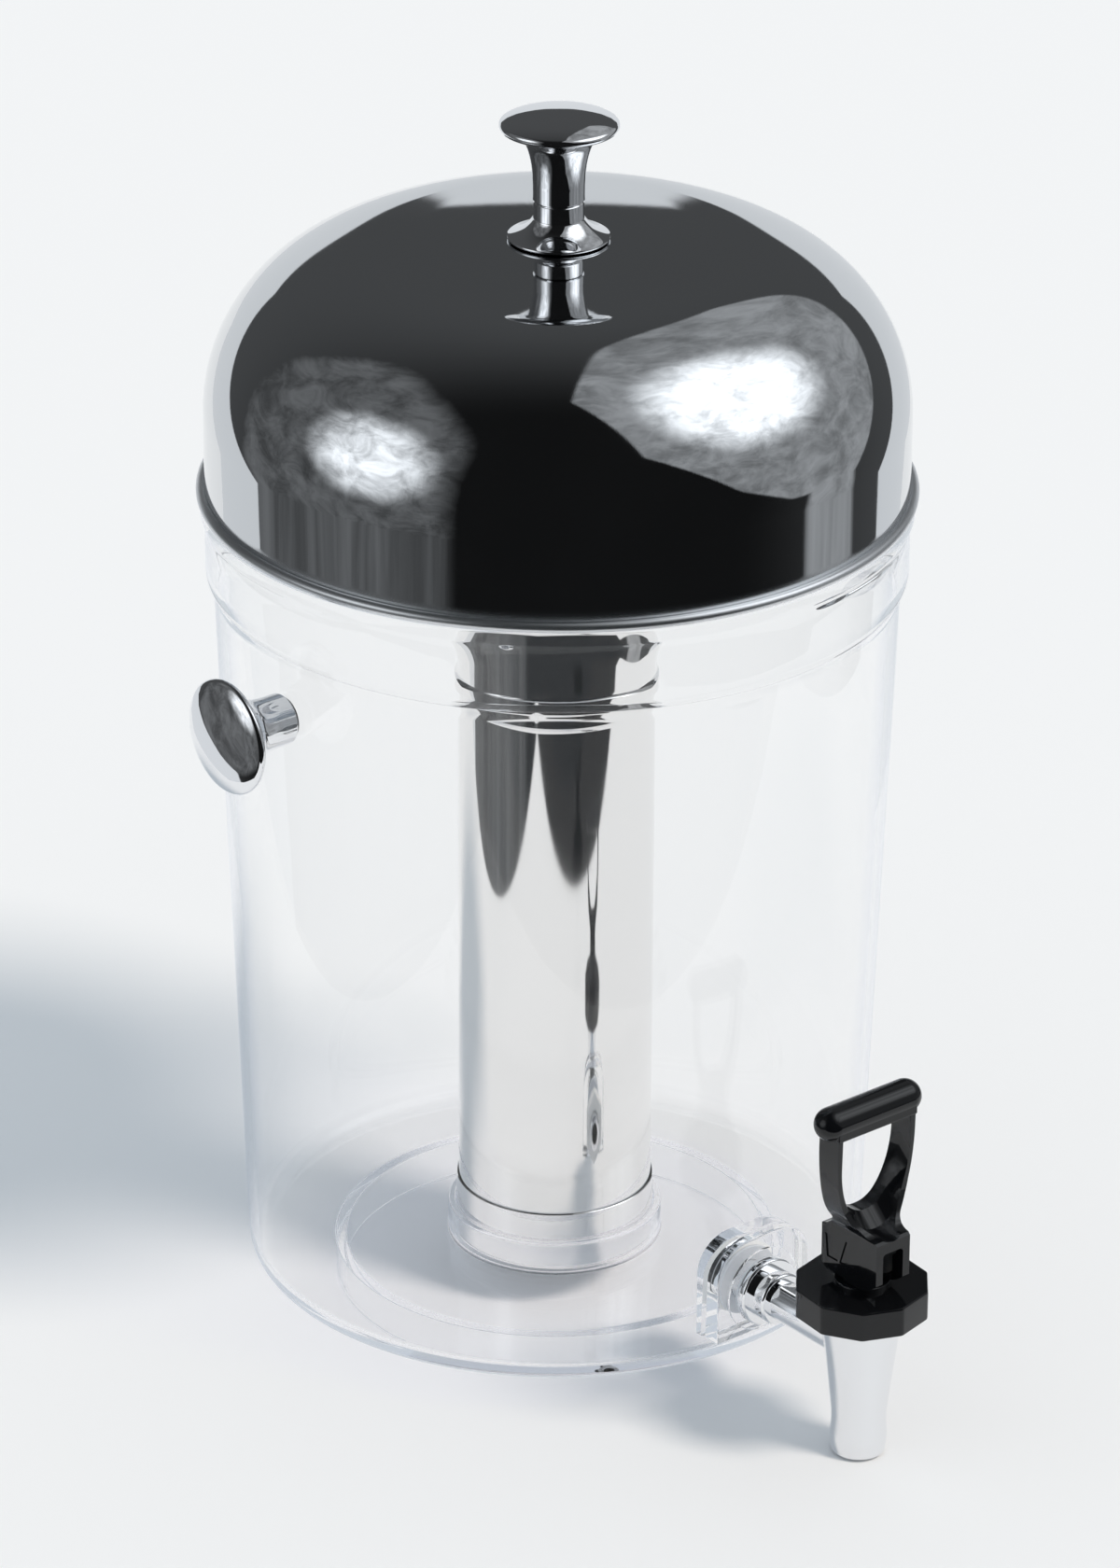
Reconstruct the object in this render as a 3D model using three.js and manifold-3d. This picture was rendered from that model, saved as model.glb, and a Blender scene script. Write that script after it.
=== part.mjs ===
// Juice dispenser: a clear container on a foot ring, a stainless lid and ice tube, and a lever tap.
// Millimetres, +Z up, standing on z = 0. The tap points to -Y and the side knobs to -X and +X.
import * as THREE from 'three';
import { mergeVertices } from 'three/addons/utils/BufferGeometryUtils.js';
import Module from 'manifold-3d';

const wasm = await Module();
wasm.setup();

// Clearances and counts
const touchGap = 0.3;
const slideGap = 0.5;
const overrun = 1;
const bigSides = 44;
const tubeSides = 36;
const smallSides = 20;
const tinySides = 16;
const arcSteps = 3;

// Container
const containerWall = 3;
const floorThickness = 4;
const footHeight = 14.5;
const footRadius = 76;
const footWall = 3.2;
const footEdge = 0.8;
const wallBaseRadius = 106.1;
const wallDraft = 8.6;
const cornerFillet = 6;
const insideFillet = 4;
const shoulderRise = 3;
const rimBandStandOut = 2.6;
const rimBandWall = 4.1;
const rimFlareRise = 12.3;
const rimFlareTopDrop = 4.1;
const rimZ = 295.3;
const shoulderDrop = 30.3;
const rimEdge = 0.7;
const lipHeight = 7.7;
const lipWall = 2.6;
const lipEdge = 0.8;

// Lid
const lidSkirtInset = 0.1;
const lidSheet = 0.8;
const lidSkirtHeight = 27.3;
const lidKnuckleRadius = 57;
const lidCrownRise = 2.4;
const crownSteps = 4;
const crownEdgeAngle = 86;
const beadRadius = 1.8;
const beadOffset = 1;
const beadOverlap = 0.7;

// Lid knob
const knobFlangeRadius = 16.6;
const knobFlangeEdge = 0.9;
const knobFootRise = 3.6;
const knobLowerHeight = 12.2;
const knobLowerStemRadius = 8.4;
const knobUpperStemRadius = 8.7;
const knobNeckRadius = 10.5;
const knobFlareHeight = 9.7;
const knobNeckHeight = 18.5;
const knobHeadRadius = 19.2;
const knobRimHeight = 27;
const knobHeadEdge = 1.6;
const knobDome = 5.7;
const headShares = [0.75, 0.45];
const knobScrewRadius = 2.5;
const knobScrewHeadRadius = 5;
const knobScrewHeadHeight = 3;
const knobScrewEngagement = 13;
const knobWasherRadius = 9;
const knobWasherThickness = 1.2;

// Ice tube
const tubeRadius = 33.3;
const tubeWall = 0.8;
const tubeTopDrop = 3.3;
const tubeRimRadius = 1.2;
const tubeBandDrop = 60.6;
const tubeBandHeight = 9.7;
const tubeBandRise = 1;
const tubeCupHeight = 21.4;
const tubeCupWall = 0.5;
const tubeCupFloor = 0.8;
const collarWall = 2.5;
const collarHeight = 10.9;
const collarEdge = 0.5;

// Side knobs
const sideKnobDrop = 50.6;
const sideStemRadius = 8.1;
const sideStemEdge = 0.9;
const sideNeckLength = 13.3;
const sideNeckRadius = 10;
const sideHeadRadius = 19.5;
const sideRimLength = 22;
const sideHeadEdge = 1.6;
const sideHeadDome = 4.9;
const sideWasherRadius = 7.4;
const sideWasherThickness = 1.6;
const sidePostRadius = 5;
const sidePostLength = 10;
const sideStudRadius = 2.5;
const sideStudLength = 16;
const sideStudDepth = 9;

// Boss for the tap
const bossHalfWidth = 20;
const bossBelowShank = 15;
const bossAboveShank = 20.5;
const bossCorner = 13;
const bossStandOut = 4.7;
const bossSinkIn = 7.6;
const bossRecessRadius = 15;
const bossRecessDepth = 1.5;

// Tap body
const tapLength = 49.2;
const shankZ = 40;
const shankRadius = 7;
const shankBoreRadius = 4.3;
const shankTail = 11.5;
const flangeRadius = 12;
const flangeThickness = 3.2;
const flangeEdge = 0.5;
const shoulderRadius = 9.2;
const shoulderLength = 6.5;
const spoutMouthZ = 1;
const spoutMouthRadius = 9;
const spoutLipRadius = 9.6;
const spoutLipHeight = 5;
const spoutWaistRadius = 9.2;
const spoutWaistHeight = 13;
const spoutBoreRadius = 7.1;
const cupTopRadius = 14;
const cupAboveShank = 13.6;
const cupNeckRadius = 15.4;
const cupNeckHeight = 7.6;
const seatBelowShank = 7;
const seatRadius = 5.4;
const seatLipHeight = 1.2;
const seatLipWidth = 1.2;
const chamberLowRadius = 9.3;
const chamberHighRadius = 11.8;
const tapWasherRadius = 11.4;
const tapWasherThickness = 1.2;
const innerWasherRadius = 12.5;
const backNutAcross = 25;
const backNutThickness = 6;

// Bonnet nut
const nutRadius = 22.9;
const nutSides = 10;
const nutTurn = -5;
const nutHeight = 10.5;
const nutRoof = 2.8;
const nutEdge = 0.7;
const hubRadius = 9.5;
const hubHeight = 1.8;
const hubEdge = 0.4;
const stemRadius = 3.4;
const stemRunningGap = 0.35;

// Valve
const seatCupRadius = 7.6;
const seatCupHeight = 6;
const seatCupBarbRadius = 2.2;
const seatCupBarbDepth = 4;
const stemCollarRadius = 7.6;
const stemCollarHeight = 1.6;
const stemEyeRadius = 3;
const springRadius = 6;
const springWire = 1;
const springTurns = 4.5;
const springSteps = 8;
const springSides = 5;
const springEndClearance = 0.35;

// Lever
const pinHeight = 11.4;
const pinRadius = 1.5;
const pinGap = 0.2;
const camRisePerRadian = 5.2;
const camEndAngle = 46;
const camSteps = 6;
const blockHalfWidth = 7.3;
const blockBack = 12.3;
const heelCutReach = 2.5;
const heelCutRise = 2;
const blockShoulderRise = 6;
const blockFrontRise = 7.6;
const heelReach = 1;
const heelRise = 1;
const slotHalfWidth = 4.35;
const slotRise = 3.8;
const slotBack = 4;
const recessDepth = 1.2;
const ribHalfWidth = 0.5;
const barRise = 50.5;
const barShift = 0.7;
const barRadius = 5.8;
const barHalfSpan = 15.9;
const armBack = 4.4;
const armFront = 5;
const armThickness = 2;
const armSamples = 4;
const openingRise = 11;
const waistRise = 15;
const waistHalfWidth = 12;
const armMidRise = 26;
const armMidHalfWidth = 15.5;
const armTopHalfWidth = 16.8;
const flareStep = 3.2;
const gripFlatReach = 5.5;
const gripFlatRise = 2.8;
const gripFlatDrop = 5;
const gripFlatSpan = 17.3;
const gripDraft = 0.6;
const gripBackReach = 2;

// Materials
const finish = (color, roughness, metalness, opacity = 1) => new THREE.MeshStandardMaterial({
  color, roughness, metalness, opacity, transparent: opacity < 1,
});
const clearPlastic = finish(0xeef3fa, 0.05, 0, 0.3);
const polishedSteel = finish(0xc4c6c8, 0.12, 1);
const chrome = finish(0xd6d8da, 0.06, 1);
const blackPlastic = finish(0x101113, 0.2, 0);
const darkRubber = finish(0x2a2b2d, 0.7, 0);
const paleSilicone = finish(0xdfe2e4, 0.5, 0);
const whitePlastic = finish(0xf1f1ee, 0.35, 0);
const steelWire = finish(0xa9abad, 0.3, 1);

const product = new THREE.Group();

const radians = (degrees) => THREE.MathUtils.degToRad(degrees);
const point = (across, along) => new THREE.Vector2(across, along);

// Points of a round corner about a centre, from one angle to another in degrees.
function arc(across, along, radius, from, to, steps = arcSteps) {
  return Array.from({ length: steps + 1 }, (_, i) => {
    const angle = radians(from + (to - from) * i / steps);
    return point(across + radius * Math.cos(angle), along + radius * Math.sin(angle));
  });
}

// A closed solid with shared vertices and outward faces.
function solid(geometry) {
  const bare = geometry.index ? geometry.toNonIndexed() : geometry;
  bare.deleteAttribute('normal');
  bare.deleteAttribute('uv');
  const merged = mergeVertices(bare);
  const vertProperties = new Float32Array(merged.attributes.position.array);
  const kept = [];
  let volume = 0;
  const corner = (i) => new THREE.Vector3().fromArray(vertProperties, 3 * i);
  for (let i = 0; i < merged.index.count; i += 3) {
    const [a, b, c] = [0, 1, 2].map((j) => merged.index.getX(i + j));
    if (a === b || b === c || c === a) continue;
    kept.push([a, b, c]);
    volume += corner(a).dot(corner(b).cross(corner(c)));
  }
  const triVerts = new Uint32Array(kept.flatMap(([a, b, c]) => (volume > 0 ? [a, b, c] : [a, c, b])));
  return new wasm.Manifold(new wasm.Mesh({ numProp: 3, vertProperties, triVerts }));
}

// Adds a finished solid to the product as a named mesh.
function addPart(name, shape, material) {
  const mesh = shape.getMesh();
  const geometry = new THREE.BufferGeometry();
  geometry.setAttribute('position', new THREE.BufferAttribute(mesh.vertProperties, 3));
  geometry.setIndex(new THREE.BufferAttribute(mesh.triVerts, 1));
  geometry.computeVertexNormals();
  const part = new THREE.Mesh(geometry, material);
  part.name = name;
  product.add(part);
}

// Revolved about the vertical axis; the profile gives radius and height.
const turned = (profile, sides, reach = 0) => solid(
  new THREE.LatheGeometry([...profile], sides).rotateX(radians(90)).translate(0, -reach, 0));

// Revolved about the shank axis; the profile gives radius and reach towards the tap.
const turnedAlongTap = (profile, sides) => solid(
  new THREE.LatheGeometry([...profile], sides).rotateX(radians(180)).translate(0, 0, shankZ));

// Revolved about the side knobs' axis; the profile gives radius and reach to the named side.
const turnedToSide = (profile, sides, side) => solid(
  new THREE.LatheGeometry([...profile], sides).rotateZ(radians(-90 * side)).translate(0, 0, sideKnobZ));

// A closed loop for a revolved ring.
const loop = (points) => [...points, points[0].clone()];

// A ring or disc between two heights.
const ring = (inner, outer, low, high) => loop(
  [point(inner, low), point(outer, low), point(outer, high), point(inner, high)]);
const disc = (radius, low, high) => [point(0, low), point(radius, low), point(radius, high), point(0, high)];

// A flat outline across the tap, extruded along the tap between two reaches.
function extrudedAlongTap(outline, nearReach, farReach, curveSegments = arcSteps) {
  const geometry = new THREE.ExtrudeGeometry(outline, {
    depth: farReach - nearReach, bevelEnabled: false, curveSegments,
  });
  return solid(geometry.rotateX(radians(90)).translate(0, -nearReach, 0));
}

// A side outline (reach from the tap axis, height), extruded across the tap between two offsets.
function extrudedAcross(points, low, high) {
  const geometry = new THREE.ExtrudeGeometry(new THREE.Shape(points), {
    depth: high - low, bevelEnabled: false,
  });
  geometry.applyMatrix4(new THREE.Matrix4().makeBasis(
    new THREE.Vector3(0, -1, 0), new THREE.Vector3(0, 0, 1), new THREE.Vector3(-1, 0, 0)));
  return solid(geometry.translate(-low, -tapReach, 0));
}

// Sizes that several pieces share
const wallTopRadius = wallBaseRadius + wallDraft;
const rimBandRadius = wallTopRadius + rimBandStandOut;
const lidSkirtRadius = rimBandRadius - lidSkirtInset;
const lidInnerRadius = lidSkirtRadius - lidSheet;
const beadCentreRadius = lidSkirtRadius + beadOffset;
const beadZ = rimZ + touchGap + beadRadius;
const lidOuterRadius = beadCentreRadius + beadRadius;
const lidSkirtTopZ = beadZ + lidSkirtHeight;
const lidTopZ = lidSkirtTopZ + lidKnuckleRadius + lidCrownRise;
const knobSplitZ = lidTopZ + knobLowerHeight;
const lipRadius = lidInnerRadius - slideGap - touchGap / 2;
const wallTopZ = rimZ - shoulderDrop;
const floorZ = footHeight + floorThickness;
const tubeTopZ = rimZ - tubeTopDrop;
const tubeCupRadius = tubeRadius + touchGap + tubeCupWall;
const collarBoreRadius = tubeCupRadius + touchGap;
const sideKnobZ = rimZ - sideKnobDrop;
const wallFootZ = footHeight + cornerFillet;
const wallReach = (z) => wallBaseRadius + wallDraft * (z - wallFootZ) / (wallTopZ - wallFootZ);
const sideWallReach = wallReach(sideKnobZ);
const sideKnobInnerReach = sideWallReach + sideWasherThickness + 2 * touchGap;
const sidePostReach = sideWallReach + sidePostLength;
const bossFaceReach = wallBaseRadius + bossStandOut;
const bossBackReach = wallBaseRadius - bossSinkIn;
const tapReach = bossFaceReach + tapLength;
const flangeInnerReach = bossFaceReach - bossRecessDepth + tapWasherThickness + 2 * touchGap;
const innerWasherReach = bossBackReach - touchGap - tapWasherThickness;
const shankInnerReach = bossBackReach - shankTail;
const cupTopZ = shankZ + cupAboveShank;
const seatZ = shankZ - seatBelowShank;
const nutLowZ = cupTopZ + touchGap;
const nutTopZ = nutLowZ + nutHeight;
const footZ = nutTopZ + hubHeight + touchGap;
const pinZ = footZ + pinHeight;
const blockFrontTopZ = pinZ + blockFrontRise;
const blockShoulderZ = pinZ + blockShoulderRise;
const slotTopZ = pinZ + slotRise;
const openingLowZ = pinZ + openingRise;
const waistZ = pinZ + waistRise;
const armMidZ = pinZ + armMidRise;
const barZ = pinZ + barRise;

function containerProfile() {
  const floorEdge = wallBaseRadius - cornerFillet;
  const innerCorner = wallBaseRadius - containerWall - insideFillet;
  return [
    point(0, footHeight),
    point(footRadius - footWall, footHeight),
    point(footRadius - footWall, footEdge),
    point(footRadius - footWall + footEdge, 0),
    point(footRadius - footEdge, 0),
    point(footRadius, footEdge),
    point(footRadius, footHeight),
    ...arc(floorEdge, footHeight + cornerFillet, cornerFillet, -90, 0),
    point(wallTopRadius, wallTopZ),
    point(rimBandRadius - rimEdge, wallTopZ + shoulderRise),
    point(rimBandRadius, rimZ - rimFlareRise),
    point(beadCentreRadius + beadOverlap, rimZ - rimFlareTopDrop),
    point(beadCentreRadius + beadOverlap, rimZ - rimEdge),
    point(beadCentreRadius + beadOverlap - rimEdge, rimZ),
    point(lipRadius, rimZ),
    point(lipRadius, rimZ + lipHeight - lipEdge),
    point(lipRadius - lipEdge, rimZ + lipHeight),
    point(lipRadius - lipWall + lipEdge, rimZ + lipHeight),
    point(lipRadius - lipWall, rimZ + lipHeight - lipEdge),
    point(rimBandRadius - rimBandWall, wallTopZ + shoulderRise + rimBandWall),
    point(wallTopRadius - containerWall, wallTopZ - shoulderRise),
    ...arc(innerCorner, floorZ + insideFillet, insideFillet, 0, -90),
    point(collarBoreRadius + collarWall, floorZ),
    point(collarBoreRadius + collarWall, floorZ + collarHeight - collarEdge),
    point(collarBoreRadius + collarWall - collarEdge, floorZ + collarHeight),
    point(collarBoreRadius + collarEdge, floorZ + collarHeight),
    point(collarBoreRadius, floorZ + collarHeight - collarEdge),
    point(collarBoreRadius, floorZ),
    point(0, floorZ),
  ];
}

// The arched boss that gives the tap a flat seat inside and outside the round wall.
function bossOutline() {
  const low = shankZ - bossBelowShank;
  const cornerZ = shankZ + bossAboveShank - bossCorner;
  const cornerAcross = bossHalfWidth - bossCorner;
  const outline = new THREE.Shape();
  outline.moveTo(-bossHalfWidth, low);
  outline.lineTo(bossHalfWidth, low);
  outline.lineTo(bossHalfWidth, cornerZ);
  outline.absarc(cornerAcross, cornerZ, bossCorner, 0, radians(90));
  outline.absarc(-cornerAcross, cornerZ, bossCorner, radians(90), radians(180));
  outline.closePath();
  return outline;
}

function makeContainer() {
  let shape = turned(containerProfile(), bigSides);
  shape = shape.add(extrudedAlongTap(bossOutline(), bossBackReach, bossFaceReach));
  const recessFloor = bossFaceReach - bossRecessDepth;
  const recess = disc(bossRecessRadius, recessFloor, bossFaceReach + overrun);
  shape = shape.subtract(turnedAlongTap(recess, smallSides));
  shape = shape.subtract(turnedAlongTap(
    disc(shankRadius + touchGap, bossBackReach - overrun, bossFaceReach), smallSides));
  for (const side of [-1, 1]) {
    const post = disc(sidePostRadius, sideWallReach - containerWall / 2, sidePostReach);
    const studHole = disc(sideStudRadius + touchGap, sidePostReach - sideStudDepth, sidePostReach + overrun);
    shape = shape.add(turnedToSide(post, smallSides, side));
    shape = shape.subtract(turnedToSide(studHole, tinySides, side));
  }
  addPart('container', shape, clearPlastic);
}

// One side of the lid's sheet, from the crown's screw hole down to the skirt.
function lidCurve(inset) {
  const kneeRadius = lidKnuckleRadius - inset;
  const crownEdge = lidSkirtRadius - lidKnuckleRadius;
  const holeRadius = knobScrewRadius + touchGap;
  const knuckleTop = lidSkirtTopZ + kneeRadius;
  const crown = Array.from({ length: crownSteps }, (_, i) => {
    const across = holeRadius + (crownEdge - holeRadius) * i / crownSteps;
    return point(across, knuckleTop + lidCrownRise * (1 - (across / crownEdge) ** 2));
  });
  return [...crown, ...arc(crownEdge, lidSkirtTopZ, kneeRadius, crownEdgeAngle, 0, 7)];
}

function makeLidDome() {
  const outside = lidCurve(0);
  const inside = lidCurve(lidSheet).reverse();
  const bead = arc(beadCentreRadius, beadZ, beadRadius, 124, -180, 7);
  const profile = loop([...outside, ...bead, ...inside]);
  addPart('lid_dome', turned(profile, bigSides), polishedSteel);
}

// A knob's head: a cone underneath, a round rim and a low dome.
function knobHead(radius, edge, rimAt, dome) {
  return [
    point(radius - edge, rimAt - edge),
    ...arc(radius - edge, rimAt, edge, -45, 60, 3),
    ...headShares.map((share) => point(radius * share, rimAt + edge + (dome - edge) * (1 - share * share))),
    point(0, rimAt + dome),
  ];
}

function makeLidKnob() {
  const flangeZ = lidTopZ + touchGap;
  const screwTopZ = knobSplitZ + knobScrewEngagement;
  const boreRadius = knobScrewRadius + touchGap;
  const stemFootZ = flangeZ + knobFootRise;
  const base = loop([
    point(boreRadius, flangeZ),
    point(knobFlangeRadius, flangeZ - touchGap / 2),
    point(knobFlangeRadius, flangeZ + knobFlangeEdge),
    ...arc(knobFlangeRadius - knobFlangeEdge, stemFootZ + knobFlangeEdge + knobFootRise,
      knobFlangeRadius - knobFlangeEdge - knobLowerStemRadius, -90, -180),
    point(knobLowerStemRadius, knobSplitZ),
    point(boreRadius, knobSplitZ),
  ]);
  addPart('lid_knob_base', turned(base, smallSides), chrome);

  const head = [
    point(0, screwTopZ + touchGap),
    point(boreRadius, screwTopZ + touchGap),
    point(boreRadius, knobSplitZ + touchGap),
    point(knobUpperStemRadius, knobSplitZ + touchGap),
    point(knobUpperStemRadius, knobSplitZ + knobFlareHeight),
    point(knobNeckRadius, knobSplitZ + knobNeckHeight),
    ...knobHead(knobHeadRadius, knobHeadEdge, knobSplitZ + knobRimHeight, knobDome),
  ];
  addPart('lid_knob_head', turned(head, smallSides), chrome);

  const crownUnderside = lidTopZ - lidSheet;
  const washerTop = crownUnderside - touchGap;
  const washerLow = washerTop - knobWasherThickness;
  const washer = ring(boreRadius, knobWasherRadius, washerLow, washerTop);
  addPart('lid_knob_washer', turned(washer, smallSides), steelWire);
  const headTop = washerLow - touchGap;
  const screw = [
    point(0, headTop - knobScrewHeadHeight),
    point(knobScrewHeadRadius - knobFlangeEdge, headTop - knobScrewHeadHeight),
    point(knobScrewHeadRadius, headTop - knobScrewHeadHeight / 2),
    point(knobScrewHeadRadius, headTop),
    point(knobScrewRadius, headTop),
    point(knobScrewRadius, screwTopZ),
    point(0, screwTopZ),
  ];
  addPart('lid_knob_screw', turned(screw, tinySides), steelWire);
}

function makeIceTube() {
  const inner = tubeRadius - tubeWall;
  const lowZ = floorZ + touchGap + tubeCupFloor + touchGap;
  const rimCentre = tubeRadius - tubeWall / 2;
  const bandHigh = tubeTopZ - tubeBandDrop;
  const bandLow = bandHigh - tubeBandHeight;
  const band = (radius) => [
    point(radius, bandLow),
    point(radius + tubeBandRise, bandLow + tubeBandRise),
    point(radius + tubeBandRise, bandHigh - tubeBandRise),
    point(radius, bandHigh),
  ];
  const tube = loop([
    point(inner, lowZ),
    point(tubeRadius, lowZ),
    ...band(tubeRadius),
    ...arc(rimCentre, tubeTopZ - tubeRimRadius, tubeRimRadius, -60, 240, 6),
    ...band(inner).reverse(),
  ]);
  addPart('ice_tube', turned(tube, tubeSides), polishedSteel);

  const cupLow = floorZ + touchGap;
  const cup = [
    point(0, cupLow),
    point(tubeCupRadius, cupLow),
    point(tubeCupRadius, cupLow + tubeCupHeight),
    point(tubeRadius + touchGap, cupLow + tubeCupHeight),
    point(tubeRadius + touchGap, cupLow + tubeCupFloor),
    point(0, cupLow + tubeCupFloor),
  ];
  addPart('ice_tube_base', turned(cup, tubeSides), polishedSteel);
}

function makeSideKnob(label, side) {
  const washerNear = sideWallReach + touchGap;
  const washerFar = washerNear + sideWasherThickness;
  const washer = ring(sidePostRadius + touchGap, sideWasherRadius, washerNear, washerFar);
  addPart(`side_knob_washer_${label}`, turnedToSide(washer, smallSides, side), darkRubber);

  const studNear = sidePostReach - sideStudDepth + touchGap;
  const studFar = studNear + sideStudLength;
  const stud = disc(sideStudRadius, studNear, studFar);
  addPart(`side_knob_stud_${label}`, turnedToSide(stud, tinySides, side), steelWire);

  const socketRadius = sidePostRadius + touchGap;
  const knob = [
    point(0, studFar + touchGap),
    point(sideStudRadius + touchGap, studFar + touchGap),
    point(sideStudRadius + touchGap, sidePostReach + touchGap),
    point(socketRadius, sidePostReach + touchGap),
    point(socketRadius, sideKnobInnerReach),
    point(sideStemRadius - sideStemEdge, sideKnobInnerReach),
    point(sideStemRadius, sideKnobInnerReach + sideStemEdge),
    point(sideStemRadius, sideKnobInnerReach + sideNeckLength / 2),
    point(sideNeckRadius, sideKnobInnerReach + sideNeckLength),
    ...knobHead(sideHeadRadius, sideHeadEdge, sideKnobInnerReach + sideRimLength, sideHeadDome),
  ];
  addPart(`side_knob_${label}`, turnedToSide(knob, smallSides, side), chrome);
}

// Shank, spout and valve chamber in one casting, with the seat ring inside.
function makeTapBody() {
  const outside = turned([
    point(0, spoutMouthZ),
    point(spoutMouthRadius - flangeEdge, spoutMouthZ),
    point(spoutMouthRadius, spoutMouthZ + flangeEdge),
    point(spoutLipRadius, spoutMouthZ + spoutLipHeight),
    point(spoutWaistRadius, spoutMouthZ + spoutWaistHeight),
    point(cupTopRadius, cupTopZ),
    point(cupNeckRadius - flangeEdge, cupTopZ + flangeEdge),
    point(cupNeckRadius - flangeEdge, cupTopZ + cupNeckHeight),
    point(0, cupTopZ + cupNeckHeight),
  ], smallSides, tapReach);
  const flangeFar = flangeInnerReach + flangeThickness;
  const shank = turnedAlongTap([
    point(0, shankInnerReach),
    point(shankRadius, shankInnerReach),
    point(shankRadius, flangeInnerReach),
    point(flangeRadius, flangeInnerReach),
    point(flangeRadius, flangeFar - flangeEdge),
    point(flangeRadius - flangeEdge, flangeFar),
    point(shoulderRadius, flangeFar),
    point(shoulderRadius, flangeFar + shoulderLength - flangeEdge),
    point(shoulderRadius - flangeEdge, flangeFar + shoulderLength),
    point(shankRadius, flangeFar + shoulderLength + flangeEdge),
    point(shankRadius, tapReach),
    point(0, tapReach),
  ], smallSides);
  const chamber = turned([
    point(0, spoutMouthZ - overrun),
    point(spoutBoreRadius, spoutMouthZ - overrun),
    point(spoutBoreRadius, spoutMouthZ + spoutWaistHeight),
    point(seatRadius, seatZ - seatLipHeight),
    point(seatRadius, seatZ),
    point(seatRadius + seatLipWidth, seatZ),
    point(seatRadius + seatLipWidth, seatZ - seatLipHeight),
    point(chamberLowRadius, seatZ - seatLipHeight),
    point(chamberHighRadius, cupTopZ),
    point(chamberHighRadius, cupTopZ + cupNeckHeight + overrun),
    point(0, cupTopZ + cupNeckHeight + overrun),
  ], smallSides, tapReach);
  const bore = turnedAlongTap(disc(shankBoreRadius, shankInnerReach - overrun, tapReach), tinySides);
  addPart('tap_body', outside.add(shank).subtract(chamber).subtract(bore), chrome);
}

function makeShankFittings() {
  const bore = shankRadius + touchGap;
  const outerNear = bossFaceReach - bossRecessDepth + touchGap;
  addPart('tap_outer_washer', turnedAlongTap(
    ring(bore, tapWasherRadius, outerNear, outerNear + tapWasherThickness), smallSides), paleSilicone);
  const innerWasher = ring(bore, innerWasherRadius, innerWasherReach, innerWasherReach + tapWasherThickness);
  addPart('tap_inner_washer', turnedAlongTap(innerWasher, smallSides), paleSilicone);
  const nutFar = innerWasherReach - touchGap;
  const nutRound = backNutAcross / 2 / Math.cos(radians(30));
  const hexagon = turnedAlongTap(disc(nutRound, nutFar - backNutThickness, nutFar), 6);
  const hole = turnedAlongTap(disc(bore, nutFar - backNutThickness - overrun, nutFar + overrun), smallSides);
  addPart('tap_back_nut', hexagon.subtract(hole), whitePlastic);
}

// Ten-sided nut with a roof over the chamber and a hub that the lever's foot rides on.
function makeBonnetNut() {
  const body = turned([
    point(0, nutLowZ),
    point(nutRadius, nutLowZ),
    point(nutRadius, nutTopZ - nutEdge),
    point(nutRadius - nutEdge, nutTopZ),
    point(0, nutTopZ),
  ], nutSides).rotate([0, 0, nutTurn]).translate([0, -tapReach, 0]);
  const hubTop = nutTopZ + hubHeight;
  const hub = turned([
    point(0, nutTopZ - overrun),
    point(hubRadius, nutTopZ - overrun),
    point(hubRadius, hubTop - hubEdge),
    point(hubRadius - hubEdge, hubTop),
    point(0, hubTop),
  ], smallSides, tapReach);
  const socket = turned(disc(cupNeckRadius, nutLowZ - overrun, nutTopZ - nutRoof), smallSides, tapReach);
  const guide = turned(disc(stemRadius + stemRunningGap, nutLowZ, hubTop + overrun), smallSides, tapReach);
  addPart('bonnet_nut', body.add(hub).subtract(socket).subtract(guide), blackPlastic);
}

function makeValve() {
  const cupLow = seatZ + touchGap;
  const cupHigh = cupLow + seatCupHeight;
  const barbLow = cupHigh - seatCupBarbDepth;
  const seatCup = [
    point(0, cupLow),
    point(seatCupRadius - overrun, cupLow),
    point(seatCupRadius, cupLow + overrun),
    point(seatCupRadius, cupHigh),
    point(seatCupBarbRadius + touchGap, cupHigh),
    point(seatCupBarbRadius + touchGap, barbLow),
    point(0, barbLow),
  ];
  addPart('valve_seat_cup', turned(seatCup, smallSides, tapReach), paleSilicone);

  const collarLow = cupHigh + touchGap;
  const collarHigh = collarLow + stemCollarHeight;
  const rod = turned([
    point(0, barbLow + touchGap),
    point(seatCupBarbRadius, barbLow + touchGap),
    point(seatCupBarbRadius, collarLow),
    point(stemCollarRadius, collarLow),
    point(stemCollarRadius, collarHigh),
    point(stemRadius, collarHigh),
    point(stemRadius, pinZ - stemEyeRadius),
    point(0, pinZ),
  ], smallSides, tapReach);
  const eyeOutline = [
    point(-stemEyeRadius, pinZ - 2 * stemEyeRadius),
    point(stemEyeRadius, pinZ - 2 * stemEyeRadius),
    ...arc(0, pinZ, stemEyeRadius, 0, 180, 8),
  ];
  const eye = extrudedAcross(eyeOutline, -stemRadius, stemRadius);
  const pinOutline = arc(0, pinZ, pinRadius + pinGap, 0, 345, 23);
  const pinHole = extrudedAcross(pinOutline, -blockHalfWidth, blockHalfWidth);
  addPart('valve_stem', rod.add(eye).subtract(pinHole), whitePlastic);

  makeValveSpring(collarHigh);
}

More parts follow.
